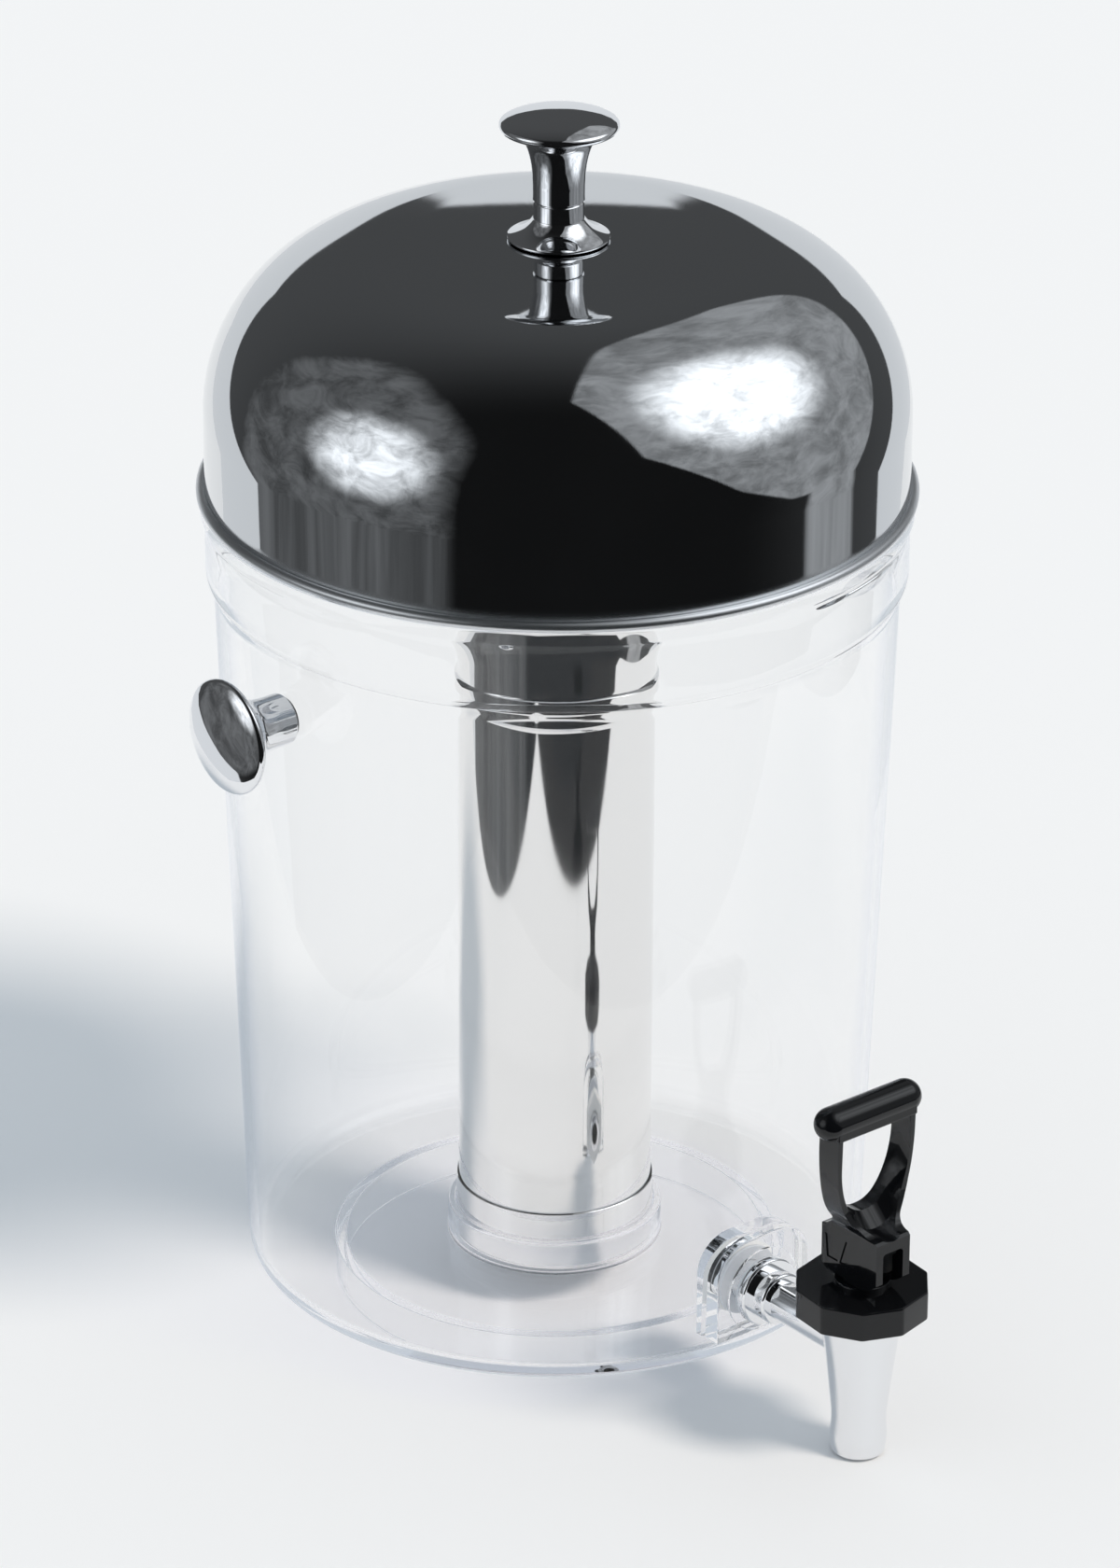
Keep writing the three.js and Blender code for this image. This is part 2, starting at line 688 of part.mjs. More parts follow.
// A coil spring between the stem's collar and the nut's roof, as one unbroken wire.
function makeValveSpring(seat) {
  const low = seat + springEndClearance + springWire / 2;
  const high = nutTopZ - nutRoof - springEndClearance - springWire / 2;
  const steps = springTurns * springSteps;
  const centres = Array.from({ length: steps + 1 }, (_, i) => {
    const angle = radians(360 * i / springSteps);
    const across = springRadius * Math.cos(angle);
    const reach = springRadius * Math.sin(angle) - tapReach;
    return new THREE.Vector3(across, reach, low + (high - low) * i / steps);
  });
  const around = Array.from({ length: springSides }, (_, i) => radians(360 * i / springSides));
  const section = new THREE.Shape(around.map((angle) => point(
    springWire / 2 * Math.cos(angle), springWire / 2 * Math.sin(angle))));
  const geometry = new THREE.ExtrudeGeometry(section, {
    steps, extrudePath: new THREE.CatmullRomCurve3(centres), bevelEnabled: false,
  });
  addPart('valve_spring', solid(geometry), steelWire);
  const turnGap = (high - low) / springTurns - springWire;
  console.log(`valve_spring least gap between turns: ${turnGap.toFixed(2)} mm`);
}

// The foot's curve: rolling on the hub, it lifts the pin by the same height for each degree.
function camCurve() {
  return Array.from({ length: camSteps + 1 }, (_, i) => {
    const angle = radians(camEndAngle * i / camSteps);
    const height = pinHeight + camRisePerRadian * angle;
    return point(
      camRisePerRadian * Math.cos(angle) + height * Math.sin(angle),
      pinZ + camRisePerRadian * Math.sin(angle) - height * Math.cos(angle));
  });
}

// The lever seen from the side: block with cam foot and heel, saddle, and the two arms.
function leverSide() {
  const cam = camCurve();
  const blockFront = cam[camSteps].x;
  const saddle = new THREE.QuadraticBezierCurve(
    point(blockFront - heelReach, blockFrontTopZ + heelReach),
    point(armFront, blockFrontTopZ + 2 * heelReach),
    point(armFront, waistZ + 2 * flareStep));
  return [
    point(-blockBack, footZ + heelRise + heelCutRise),
    point(heelCutReach - blockBack, footZ + heelRise),
    point(-heelReach, footZ + heelRise),
    point(-heelReach, footZ),
    ...cam,
    point(blockFront, blockFrontTopZ),
    ...saddle.getPoints(armSamples),
    point(armFront + barShift, barZ),
    point(barShift - armBack, barZ),
    point(-armBack, waistZ),
    point(-armBack - heelReach, blockShoulderZ + flareStep),
    point(-blockBack, blockShoulderZ),
  ];
}

// The lever seen from the front: a narrow block under a stirrup that widens to the grip.
function leverFront() {
  const outline = new THREE.Shape();
  outline.moveTo(-blockHalfWidth, footZ - overrun);
  outline.lineTo(blockHalfWidth, footZ - overrun);
  outline.lineTo(blockHalfWidth, blockFrontTopZ);
  outline.quadraticCurveTo(waistHalfWidth, blockFrontTopZ + flareStep, waistHalfWidth, waistZ);
  outline.quadraticCurveTo(waistHalfWidth + flareStep / 2, armMidZ - flareStep, armMidHalfWidth, armMidZ);
  outline.quadraticCurveTo(armTopHalfWidth, armMidZ + 2 * flareStep, armTopHalfWidth, barZ);
  outline.lineTo(-armTopHalfWidth, barZ);
  outline.quadraticCurveTo(-armTopHalfWidth, armMidZ + 2 * flareStep, -armMidHalfWidth, armMidZ);
  outline.quadraticCurveTo(-waistHalfWidth - flareStep / 2, armMidZ - flareStep, -waistHalfWidth, waistZ);
  outline.quadraticCurveTo(-waistHalfWidth, blockFrontTopZ + flareStep, -blockHalfWidth, blockFrontTopZ);
  outline.closePath();
  return outline;
}

// The finger opening of the stirrup, open at the top where the grip bar closes it.
function leverOpening() {
  const eye = new THREE.Shape();
  const innerTop = armTopHalfWidth - armThickness;
  const innerMid = armMidHalfWidth - armThickness;
  eye.moveTo(0, openingLowZ);
  eye.bezierCurveTo(waistHalfWidth - armThickness, openingLowZ, innerMid - armThickness, waistZ + flareStep,
    innerMid, armMidZ);
  eye.quadraticCurveTo(innerTop, armMidZ + 2 * flareStep, innerTop, barZ);
  eye.lineTo(innerTop, barZ + overrun);
  eye.lineTo(-innerTop, barZ + overrun);
  eye.lineTo(-innerTop, barZ);
  eye.quadraticCurveTo(-innerTop, armMidZ + 2 * flareStep, -innerMid, armMidZ);
  eye.bezierCurveTo(armThickness - innerMid, waistZ + flareStep, armThickness - waistHalfWidth, openingLowZ,
    0, openingLowZ);
  return eye;
}

// The grip bar: a round bar with ball ends, squared off below to a flat front and underside.
function leverGrip() {
  const profile = [
    ...arc(0, -barHalfSpan, barRadius, -90, 0, 5),
    ...arc(0, barHalfSpan, barRadius, 0, 90, 5),
  ];
  const bar = solid(new THREE.LatheGeometry(profile, smallSides).rotateZ(radians(90))
    .translate(0, -tapReach - barShift, barZ));
  const squared = extrudedAcross([
    point(barShift - gripBackReach, barZ - gripFlatDrop),
    point(barShift + gripFlatReach, barZ - gripFlatDrop),
    point(barShift + gripFlatReach - gripDraft, barZ + gripFlatRise),
    point(barShift, barZ + gripFlatRise),
  ], -gripFlatSpan, gripFlatSpan);
  return bar.add(squared);
}

// The shallow pocket in each cheek, split by a thin rib.
function cheekPockets() {
  const low = footZ + pinHeight / 2;
  const rear = [
    point(-blockBack + 2 * heelReach, slotTopZ - heelRise),
    point(-blockBack + 3 * heelReach, low),
    point(-slotBack - ribHalfWidth, low),
    point(-heelReach - ribHalfWidth, slotTopZ - heelRise / 2),
  ];
  const front = [
    point(-heelReach + ribHalfWidth, slotTopZ - heelRise / 2),
    point(-slotBack + ribHalfWidth, low),
    point(-heelReach, low),
    point(armFront + slotBack, slotTopZ - heelRise),
    point(armFront + slotBack, slotTopZ),
  ];
  const inner = blockHalfWidth - recessDepth;
  const outer = blockHalfWidth + overrun;
  return [rear, front].flatMap((outline) => [
    extrudedAcross(outline, inner, outer),
    extrudedAcross(outline, -outer, -inner),
  ]);
}

function makeLever() {
  const blockFront = camCurve()[camSteps].x;
  const side = extrudedAcross(leverSide(), -armTopHalfWidth - overrun, armTopHalfWidth + overrun);
  const front = extrudedAlongTap(
    leverFront(), tapReach - blockBack - overrun, tapReach + blockFront + overrun, arcSteps);
  const opening = extrudedAlongTap(leverOpening(), tapReach - blockBack, tapReach + blockFront, arcSteps);
  let shape = side.intersect(front).subtract(opening).add(leverGrip());
  const slotOutline = new THREE.Shape();
  slotOutline.moveTo(-slotHalfWidth, footZ - overrun);
  slotOutline.lineTo(slotHalfWidth, footZ - overrun);
  slotOutline.lineTo(slotHalfWidth, slotTopZ - heelRise);
  slotOutline.lineTo(slotHalfWidth - heelRise, slotTopZ);
  slotOutline.lineTo(heelRise - slotHalfWidth, slotTopZ);
  slotOutline.lineTo(-slotHalfWidth, slotTopZ - heelRise);
  slotOutline.closePath();
  const slot = extrudedAlongTap(slotOutline, tapReach - slotBack, tapReach + blockFront + overrun);
  shape = shape.subtract(slot);
  for (const pocket of cheekPockets()) shape = shape.subtract(pocket);
  const pinHole = extrudedAcross(
    arc(0, pinZ, pinRadius + pinGap, 0, 345, 23), -blockHalfWidth - overrun, blockHalfWidth + overrun);
  addPart('lever', shape.subtract(pinHole), blackPlastic);

  const pinReach = blockHalfWidth - recessDepth - touchGap;
  const pin = solid(new THREE.CylinderGeometry(pinRadius, pinRadius, 2 * pinReach, tinySides)
    .rotateZ(radians(90)).translate(0, -tapReach, pinZ));
  addPart('lever_pin', pin, steelWire);
}

makeContainer();
makeLidDome();
makeLidKnob();
makeIceTube();
makeSideKnob('left', -1);
makeSideKnob('right', 1);
makeTapBody();
makeShankFittings();
makeBonnetNut();
makeValve();
makeLever();

// The origin lies on the table, midway between the nut's front corner and the back of the lid.
product.position.y = (tapReach + nutRadius * Math.cos(radians(nutTurn)) - lidOuterRadius) / 2;

export default product;
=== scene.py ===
"""Dresses the juice dispenser: clear container, polished lid, ice tube, side knobs and lever tap."""
import logging
import math
from collections.abc import Callable, Iterable, Sequence
from dataclasses import dataclass
from enum import Enum
from functools import partial

import bpy
from bpy.types import Material, Node, NodeSocket, NodeTree, Object
from mathutils import Matrix, Vector


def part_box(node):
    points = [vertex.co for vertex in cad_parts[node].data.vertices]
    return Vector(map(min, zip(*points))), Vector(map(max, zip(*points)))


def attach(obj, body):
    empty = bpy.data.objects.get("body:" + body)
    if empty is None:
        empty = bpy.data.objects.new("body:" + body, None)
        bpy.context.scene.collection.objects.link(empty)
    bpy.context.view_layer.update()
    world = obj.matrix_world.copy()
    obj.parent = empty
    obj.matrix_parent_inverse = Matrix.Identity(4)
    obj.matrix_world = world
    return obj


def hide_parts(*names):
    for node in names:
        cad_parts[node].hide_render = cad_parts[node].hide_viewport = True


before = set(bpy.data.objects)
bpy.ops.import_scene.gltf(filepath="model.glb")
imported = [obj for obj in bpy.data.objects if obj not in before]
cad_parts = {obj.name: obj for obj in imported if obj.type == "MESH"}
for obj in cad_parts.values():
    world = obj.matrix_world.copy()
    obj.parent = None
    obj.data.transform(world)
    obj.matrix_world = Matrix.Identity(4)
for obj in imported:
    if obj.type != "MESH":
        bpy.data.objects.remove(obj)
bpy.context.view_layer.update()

log = logging.getLogger("juice_dispenser")

Spot = tuple[float, float]
Trio = tuple[float, float, float]
Bow = tuple[Spot, Spot, Spot]
Add = Callable[..., Node]

MM = 0.001
FULL_TURN = 2 * math.pi
MERGE_DISTANCE = 2e-6
BIG_STEPS = 360
TUBE_STEPS = 128
SMALL_STEPS = 80
SHANK_HEIGHT = 40.0
KNOB_HEIGHT = 244.7
# How far a cutter reaches past what it cuts, in mm.
OVERRUN = 1.0
# The camera's side of the dispenser in degrees from the tap's side.
VIEW_SIDE = -39.467


class Pull(Enum):
    """How one solid works on another."""

    JOIN = "UNION"
    CUT = "DIFFERENCE"
    SHARE = "INTERSECT"


def node_middle(name: str) -> Vector:
    """The middle of a CAD node's box, in metres."""
    low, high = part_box(name)
    return (low + high) / 2


CONTAINER_Y = node_middle("ice_tube").y / MM
TAP_Y = node_middle("valve_stem").y / MM
TAP_REACH = CONTAINER_Y - TAP_Y


@dataclass(frozen=True)
class Spindle:
    """An axis that round pieces are turned about: a foot in mm and two directions."""

    foot: Vector
    along: Vector
    out: Vector

    def place(self, spot: Spot) -> Vector:
        """The point in metres at a radius and a distance along the axis in mm."""
        return (self.foot + self.out * spot[0] + self.along * spot[1]) * MM


UP = Vector((0, 0, 1))
RIGHT = Vector((1, 0, 0))
TO_TAP = Vector((0, -1, 0))
CONTAINER_SPINDLE = Spindle(Vector((0, CONTAINER_Y, 0)), UP, RIGHT)
TAP_SPINDLE = Spindle(Vector((0, TAP_Y, 0)), UP, RIGHT)
SHANK_SPINDLE = Spindle(Vector((0, CONTAINER_Y, SHANK_HEIGHT)), TO_TAP, UP)
KNOB_SPINDLES = {side: Spindle(Vector((0, CONTAINER_Y, KNOB_HEIGHT)), RIGHT * side, UP) for side in (-1, 1)}


def reaches(name: str) -> Spot:
    """A CAD node's least and greatest reach from the container's axis to the tap, in mm."""
    low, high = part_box(name)
    return CONTAINER_Y - high.y / MM, CONTAINER_Y - low.y / MM


def arc(middle: Spot, radius: float, start: float, end: float, steps: int) -> list[Spot]:
    """Points of a round stretch in an outline.

    Args:
        middle: The arc's centre in mm.
        radius: Its radius in mm.
        start: The angle in degrees of the first point.
        end: The angle in degrees of the last point.
        steps: The number of straight parts.

    Returns:
        The points from start to end.
    """
    turns = [math.radians(start + (end - start) * i / steps) for i in range(steps + 1)]
    return [(middle[0] + radius * math.cos(t), middle[1] + radius * math.sin(t)) for t in turns]


def rounded(corner: Spot, radius: float, start: float, end: float, steps: int = 3) -> list[Spot]:
    """Points of the arc that rounds a square corner.

    Args:
        corner: The corner before it is rounded, in mm.
        radius: The arc's radius in mm.
        start: The angle in degrees of the first point.
        end: The angle in degrees of the last point.
        steps: The number of straight parts.

    Returns:
        The points from start to end.
    """
    aim = math.radians((start + end) / 2)
    across, up = math.copysign(radius, math.cos(aim)), math.copysign(radius, math.sin(aim))
    return arc((corner[0] - across, corner[1] - up), radius, start, end, steps)


def bow(first: Spot, pull: Spot, last: Spot, steps: int) -> list[Spot]:
    """Points of a smooth curve.

    Args:
        first: Where it starts.
        pull: What it is drawn towards between its ends.
        last: Where it ends.
        steps: The number of straight parts.

    Returns:
        The points from first to last.
    """
    shares = [i / steps for i in range(steps + 1)]
    return [
        tuple((1 - t) ** 2 * a + 2 * t * (1 - t) * b + t * t * c for a, b, c in zip(first, pull, last))
        for t in shares
    ]


def select_only(*pieces: Object) -> None:
    """Selects these pieces and nothing else, and makes the first one active.

    Args:
        pieces: The pieces to select.
    """
    bpy.ops.object.select_all(action="DESELECT")
    for piece in pieces:
        piece.select_set(True)
    bpy.context.view_layer.objects.active = pieces[0]


def trace(name: str, spots: Sequence[Vector]) -> Object:
    """Draws a chain of edges through points, by extruding a single vertex.

    Args:
        name: The new piece's name.
        spots: The points in metres.

    Returns:
        The piece, in edit mode, with every vertex selected.
    """
    bpy.ops.object.select_all(action="DESELECT")
    bpy.ops.mesh.primitive_plane_add(size=MM, location=spots[0])
    piece = bpy.context.active_object
    piece.name = piece.data.name = name
    bpy.ops.object.mode_set(mode="EDIT")
    bpy.ops.mesh.select_all(action="SELECT")
    bpy.ops.mesh.merge(type="CENTER")
    for start, end in zip(spots, spots[1:]):
        bpy.ops.mesh.extrude_region_move(TRANSFORM_OT_translate={"value": end - start})
    bpy.ops.mesh.select_all(action="SELECT")
    return piece


def settle(piece: Object) -> Object:
    """Closes seams, turns faces outwards, leaves edit mode and puts the object at the origin.

    Args:
        piece: The piece, in edit mode.

    Returns:
        The same piece.
    """
    bpy.ops.mesh.select_all(action="SELECT")
    bpy.ops.mesh.remove_doubles(threshold=MERGE_DISTANCE)
    bpy.ops.mesh.normals_make_consistent(inside=False)
    bpy.ops.object.mode_set(mode="OBJECT")
    select_only(piece)
    bpy.ops.object.transform_apply(location=True, rotation=True, scale=True)
    return piece


def turn(name: str, outline: Sequence[Spot], spindle: Spindle, steps: int = SMALL_STEPS,
         closed: bool = False) -> Object:
    """Spins an outline into a round solid.

    Args:
        name: The piece's name.
        outline: Radius and distance along the axis in mm; an open one starts and ends on the axis.
        spindle: The axis.
        steps: The number of sides.
        closed: Whether the outline closes on itself, as on a ring.

    Returns:
        The solid.
    """
    spots = [spindle.place(spot) for spot in (*outline, *outline[:closed])]
    piece = trace(name, spots)
    bpy.ops.mesh.spin(steps=steps, angle=FULL_TURN, center=spindle.foot * MM, axis=spindle.along)
    return settle(piece)


def ring(inner: float, outer: float, low: float, high: float, edge: float) -> list[Spot]:
    """A ring's closed outline with rounded outer edges."""
    return [(inner, low), *rounded((outer, low), edge, -90, 0), *rounded((outer, high), edge, 0, 90),
            (inner, high)]


def disc(radius: float, low: float, high: float) -> list[Spot]:
    """A plain disc's open outline."""
    return [(0, low), (radius, low), (radius, high), (0, high)]


def slab(name: str, spots: Sequence[Vector], *pushes: Vector) -> Object:
    """Fills an outline and extrudes it.

    Args:
        name: The piece's name.
        spots: The outline's corners in mm.
        pushes: One or more steps in mm that the face is extruded by in turn.

    Returns:
        The solid.
    """
    piece = trace(name, [spot * MM for spot in (*spots, spots[0])])
    bpy.ops.mesh.remove_doubles(threshold=MERGE_DISTANCE)
    bpy.ops.mesh.edge_face_add()
    for push in pushes:
        bpy.ops.mesh.extrude_region_move(TRANSFORM_OT_translate={"value": push * MM})
    return settle(piece)


def work(piece: Object, pull: Pull, *tools: Object) -> Object:
    """Joins, cuts or intersects a solid with others.

    Args:
        piece: The solid that is worked on.
        pull: How the others work on it.
        tools: The other solids, which are used up.

    Returns:
        The first solid.
    """
    for tool in tools:
        select_only(piece)
        bpy.ops.object.modifier_add(type="BOOLEAN")
        modifier = piece.modifiers[-1]
        modifier.object = tool
        modifier.operation = pull.value
        modifier.solver = "EXACT"
        bpy.ops.object.modifier_apply(modifier=modifier.name)
        bpy.data.objects.remove(tool)
    return piece


def clean(piece: Object, distance: float = MERGE_DISTANCE) -> Object:
    """Merges the near doubles that a cut leaves.

    Args:
        piece: The solid.
        distance: How near two corners are to merge, in metres.

    Returns:
        The same solid.
    """
    select_only(piece)
    bpy.ops.object.mode_set(mode="EDIT")
    bpy.ops.mesh.select_all(action="SELECT")
    bpy.ops.mesh.remove_doubles(threshold=distance)
    bpy.ops.object.mode_set(mode="OBJECT")
    return piece


def round_edges(piece: Object, width: float, angle: float, segments: int = 3) -> Object:
    """Rounds every edge sharper than an angle.

    Args:
        piece: The solid.
        width: The rounding's width in mm.
        angle: The least angle in degrees.
        segments: The number of faces across it.

    Returns:
        The same solid.
    """
    select_only(piece)
    bpy.ops.object.modifier_add(type="BEVEL")
    modifier = piece.modifiers[-1]
    modifier.width = width * MM
    modifier.segments = segments
    modifier.limit_method = "ANGLE"
    modifier.angle_limit = math.radians(angle)
    bpy.ops.object.modifier_apply(modifier=modifier.name)
    return piece


def polish(piece: Object, angle: float = 32) -> Object:
    """Shades a piece smooth, led by its large faces.

    Args:
        piece: The piece.
        angle: The angle in degrees above which an edge stays sharp.

    Returns:
        The same piece.
    """
    select_only(piece)
    bpy.ops.object.shade_smooth_by_angle(angle=math.radians(angle))
    bpy.ops.object.modifier_add(type="WEIGHTED_NORMAL")
    modifier = piece.modifiers[-1]
    modifier.keep_sharp = True
    bpy.ops.object.modifier_apply(modifier=modifier.name)
    return piece


def sides_outline(spots: Iterable[Spot], across: float) -> list[Vector]:
    """An outline seen from the side of the tap: reach from the tap's axis and height."""
    return [Vector((across, TAP_Y - reach, height)) for reach, height in spots]


def front_outline(half: Sequence[Spot], reach: float) -> list[Vector]:
    """An outline seen from the front, at a reach from the container's axis.

    Args:
        half: Across and height of the right half in mm, which is mirrored for the left one.
        reach: How far it stands from the container's axis in mm.

    Returns:
        The whole outline in mm.
    """
    spots = [*half, *[(-across, height) for across, height in reversed(half)]]
    return [Vector((across, CONTAINER_Y - reach, height)) for across, height in spots]


# Finishes

def linear(colour: str) -> tuple[float, float, float, float]:
    """An sRGB hex colour as linear red, green, blue and alpha."""
    parts = [int(colour[i:i + 2], 16) / 255 for i in (1, 3, 5)]
    return (*[v / 12.92 if v <= 0.04045 else ((v + 0.055) / 1.055) ** 2.4 for v in parts], 1.0)


def per_mm(size: float) -> float:
    """The texture scale that gives a pattern its real size in mm."""
    return 1 / (size * MM)


def add_node(tree: NodeTree, kind: str, **settings: object) -> Node:
    """Adds a node, sets it and links it.

    Args:
        tree: The node tree.
        kind: The node's type without its ShaderNode.
        settings: Values, nodes or output sockets, by an input's name with _ for a space, by in_ and an
            input's number, or by a property's name. A node stands for its first output.

    Returns:
        The node.
    """
    node = tree.nodes.new("ShaderNode" + kind)
    for name, value in settings.items():
        spot = int(name[3:]) if name.startswith("in_") else name.replace("_", " ")
        if isinstance(spot, str) and spot not in node.inputs:
            setattr(node, name, value)
        elif isinstance(value, Node):
            tree.links.new(value.outputs[0], node.inputs[spot])
        elif isinstance(value, NodeSocket):
            tree.links.new(value, node.inputs[spot])
        else:
            node.inputs[spot].default_value = value
    return node


@dataclass(frozen=True)
class Finish:
    """What a surface is made of, as a node material that is named for it."""

    name: str

    def surface(self, add: Add, place: NodeSocket) -> Node:
        """Makes the shader.

        Args:
            add: Adds a node to the material.
            place: The place on the object, in metres.

        Returns:
            The shader's last node.
        """
        raise NotImplementedError

    def make(self) -> Material:
        """Builds the node material.

        Returns:
            The material.
        """
        material = bpy.data.materials.new(self.name)
        material.use_nodes = True
        material.node_tree.nodes.clear()
        add = partial(add_node, material.node_tree)
        add("OutputMaterial", Surface=self.surface(add, add("TexCoord").outputs["Object"]))
        return material


@dataclass(frozen=True)
class ClearAcrylic(Finish):
    """Injection-moulded clear acrylic: bright, with a painted bluish shade where it is seen edge on, and a
    faint draw.
    """

    name: str = "clear_acrylic"
    colour: str = "#FFFFFF"
    painted_edge_shade: str = "#B2C0E2"
    edge_shade_blend: float = 0.12
    edge_shade_span: Spot = (0.28, 0.6)
    shadow: str = "#FEFEFF"
    index: float = 1.34
    depth: float = 8.5
    turns: float = 2.5
    draw_mm: float = 45.0
    draw_depth_mm: float = 0.3

    def surface(self, add: Add, place: NodeSocket) -> Node:
        """Clear plastic that lets lamps and even light through.

        Args:
            add: Adds a node to the material.
            place: The place on the object, in metres.

        Returns:
            The shader's last node.
        """
        draw = add("TexNoise", Scale=per_mm(self.draw_mm), Detail=1.0, Vector=place)
        bump = add("Bump", Strength=0.25, Distance=self.draw_depth_mm * MM, Height=draw)
        # Painted shade: a darker bluish colour is mixed into the wall's colour where it is seen edge on, in
        # place of the room that it would reflect.
        facing = add("LayerWeight", Blend=self.edge_shade_blend).outputs["Facing"]
        painted_edge_share = add("MapRange", From_Min=self.edge_shade_span[0], From_Max=self.edge_shade_span[1], Value=facing)
        tint = add("Mix", data_type="RGBA", in_0=painted_edge_share, in_6=linear(self.colour),
                   in_7=linear(self.painted_edge_shade))
        body = add("BsdfPrincipled", Roughness=0.0, IOR=self.index, Transmission_Weight=1.0,
                   Base_Color=tint.outputs[2], Normal=bump)
        # Its shadow is faint, and a ray that has turned often inside the wall goes straight on, so that
        # the edges stay pale.
        path = add("LightPath").outputs
        straight = path["Is Shadow Ray"]
        deep = add("Math", operation="GREATER_THAN", in_0=path["Ray Depth"], in_1=self.depth)
        turned = add("Math", operation="GREATER_THAN", in_0=path["Glossy Depth"], in_1=self.turns)
        for cause in (path["Is Diffuse Ray"], deep, turned):
            straight = add("Math", operation="MAXIMUM", in_0=straight, in_1=cause)
        clear = add("BsdfTransparent", Color=linear(self.shadow))
        return add("MixShader", in_0=straight, in_1=body, in_2=clear)


@dataclass(frozen=True)
class PolishedSteel(Finish):
    """Polished stainless steel: a mirror with upright polishing lines, which are drawn coarse to show."""

    colour: str = "#DADCDE"
    roughness: float = 0.035
    line_mm: float = 0.45
    line_length: float = 60.0
    line_depth_mm: float = 0.004
    smudge_mm: float = 35.0
    smudge: float = 0.03
    smudge_span: Spot = (0.35, 0.7)
    hem: Spot | None = None
    hem_roughness: float = 0.34

    def surface(self, add: Add, place: NodeSocket) -> Node:
        """A mirror that smudges dull in places.

        Args:
            add: Adds a node to the material.
            place: The place on the object, in metres.

        Returns:
            The shader's last node.
        """
        stretched = add("Mapping", Scale=(1, 1, 1 / self.line_length), Vector=place)
        lines = add("TexNoise", Scale=per_mm(self.line_mm), Detail=3.0, Vector=stretched)
        smudges = add("TexNoise", Scale=per_mm(self.smudge_mm), Detail=4.0, Vector=place)
        gloss = add("MapRange", From_Min=self.smudge_span[0], From_Max=self.smudge_span[1],
                    To_Min=self.roughness, To_Max=self.roughness + self.smudge, Value=smudges)
        if self.hem:
            # The rolled hem is only satin, as the wheel doesn't reach it.
            height = add("SeparateXYZ", Vector=place).outputs["Z"]
            satin = add("MapRange", interpolation_type="SMOOTHSTEP", From_Min=self.hem[1] * MM,
                        From_Max=self.hem[0] * MM, To_Max=self.hem_roughness, Value=height)
            gloss = add("Math", operation="MAXIMUM", in_0=gloss, in_1=satin)
        bump = add("Bump", Strength=0.5, Distance=self.line_depth_mm * MM, Height=lines)
        return add("BsdfPrincipled", Base_Color=linear(self.colour), Metallic=1.0, Roughness=gloss,
                   Normal=bump)


@dataclass(frozen=True)
class ChromePlate(Finish):
    """Bright chrome plate over a casting: a cool mirror that follows slight waves of the casting."""

    name: str = "chrome_plate"
    colour: str = "#F0F1F3"
    roughness: float = 0.02
    wave_mm: float = 9.0
    wave_depth_mm: float = 0.03

    def surface(self, add: Add, place: NodeSocket) -> Node:
        """A mirror, a little duller on the waves' crests.

        Args:
            add: Adds a node to the material.
            place: The place on the object, in metres.

        Returns:
            The shader's last node.
        """
        waves = add("TexNoise", Scale=per_mm(self.wave_mm), Detail=1.0, Vector=place)
        bump = add("Bump", Strength=0.4, Distance=self.wave_depth_mm * MM, Height=waves)
        haze = add("MapRange", From_Min=0.3, From_Max=0.7, To_Min=self.roughness, To_Max=self.roughness * 2,
                   Value=waves)
        return add("BsdfPrincipled", Base_Color=linear(self.colour), Metallic=1.0, Roughness=haze,
                   Normal=bump)


@dataclass(frozen=True)
class MouldedPlastic(Finish):
    """Moulded plastic or rubber: plain, cloudier in places, with a mould grain drawn coarse to show."""

    colour: str
    shade: str
    roughness: float
    grain_mm: float = 0.8
    grain_depth_mm: float = 0.01
    index: float = 1.5
    cloud_mm: float = 12.0
    haze_shares: Spot = (0.85, 1.2)

    def surface(self, add: Add, place: NodeSocket) -> Node:
        """A plain colour under a soft or sharp gloss.

        Args:
            add: Adds a node to the material.
            place: The place on the object, in metres.

        Returns:
            The shader's last node.
        """
        cloud = add("TexNoise", Scale=per_mm(self.cloud_mm), Detail=3.0, Vector=place)
        tint = add("Mix", data_type="RGBA", in_0=cloud, in_6=linear(self.colour), in_7=linear(self.shade))
        haze = add("MapRange", From_Min=0.3, From_Max=0.7, To_Min=self.roughness * self.haze_shares[0],
                   To_Max=self.roughness * self.haze_shares[1], Value=cloud)
        grain = add("TexNoise", Scale=per_mm(self.grain_mm), Detail=2.0, Vector=place)
        bump = add("Bump", Strength=0.3, Distance=self.grain_depth_mm * MM, Height=grain)
        return add("BsdfPrincipled", IOR=self.index, Base_Color=tint.outputs[2], Roughness=haze, Normal=bump)


@dataclass(frozen=True)
class Paper(Finish):
    """Matt studio paper, a little cloudy."""

    name: str = "studio_paper"
    colour: str = "#F2F3F4"
    cloud_mm: float = 180.0
    haze: Spot = (0.85, 1.0)

    def surface(self, add: Add, place: NodeSocket) -> Node:
        """A plain matt colour.

        Args:
            add: Adds a node to the material.
            place: The place on the object, in metres.

        Returns:
            The shader's last node.
        """
        tone = add("TexNoise", Scale=per_mm(self.cloud_mm), Detail=1.0, Vector=place)
        haze = add("MapRange", To_Min=self.haze[0], To_Max=self.haze[1], Value=tone)
        return add("BsdfPrincipled", Base_Color=linear(self.colour), Specular_IOR_Level=0.0, Roughness=haze)


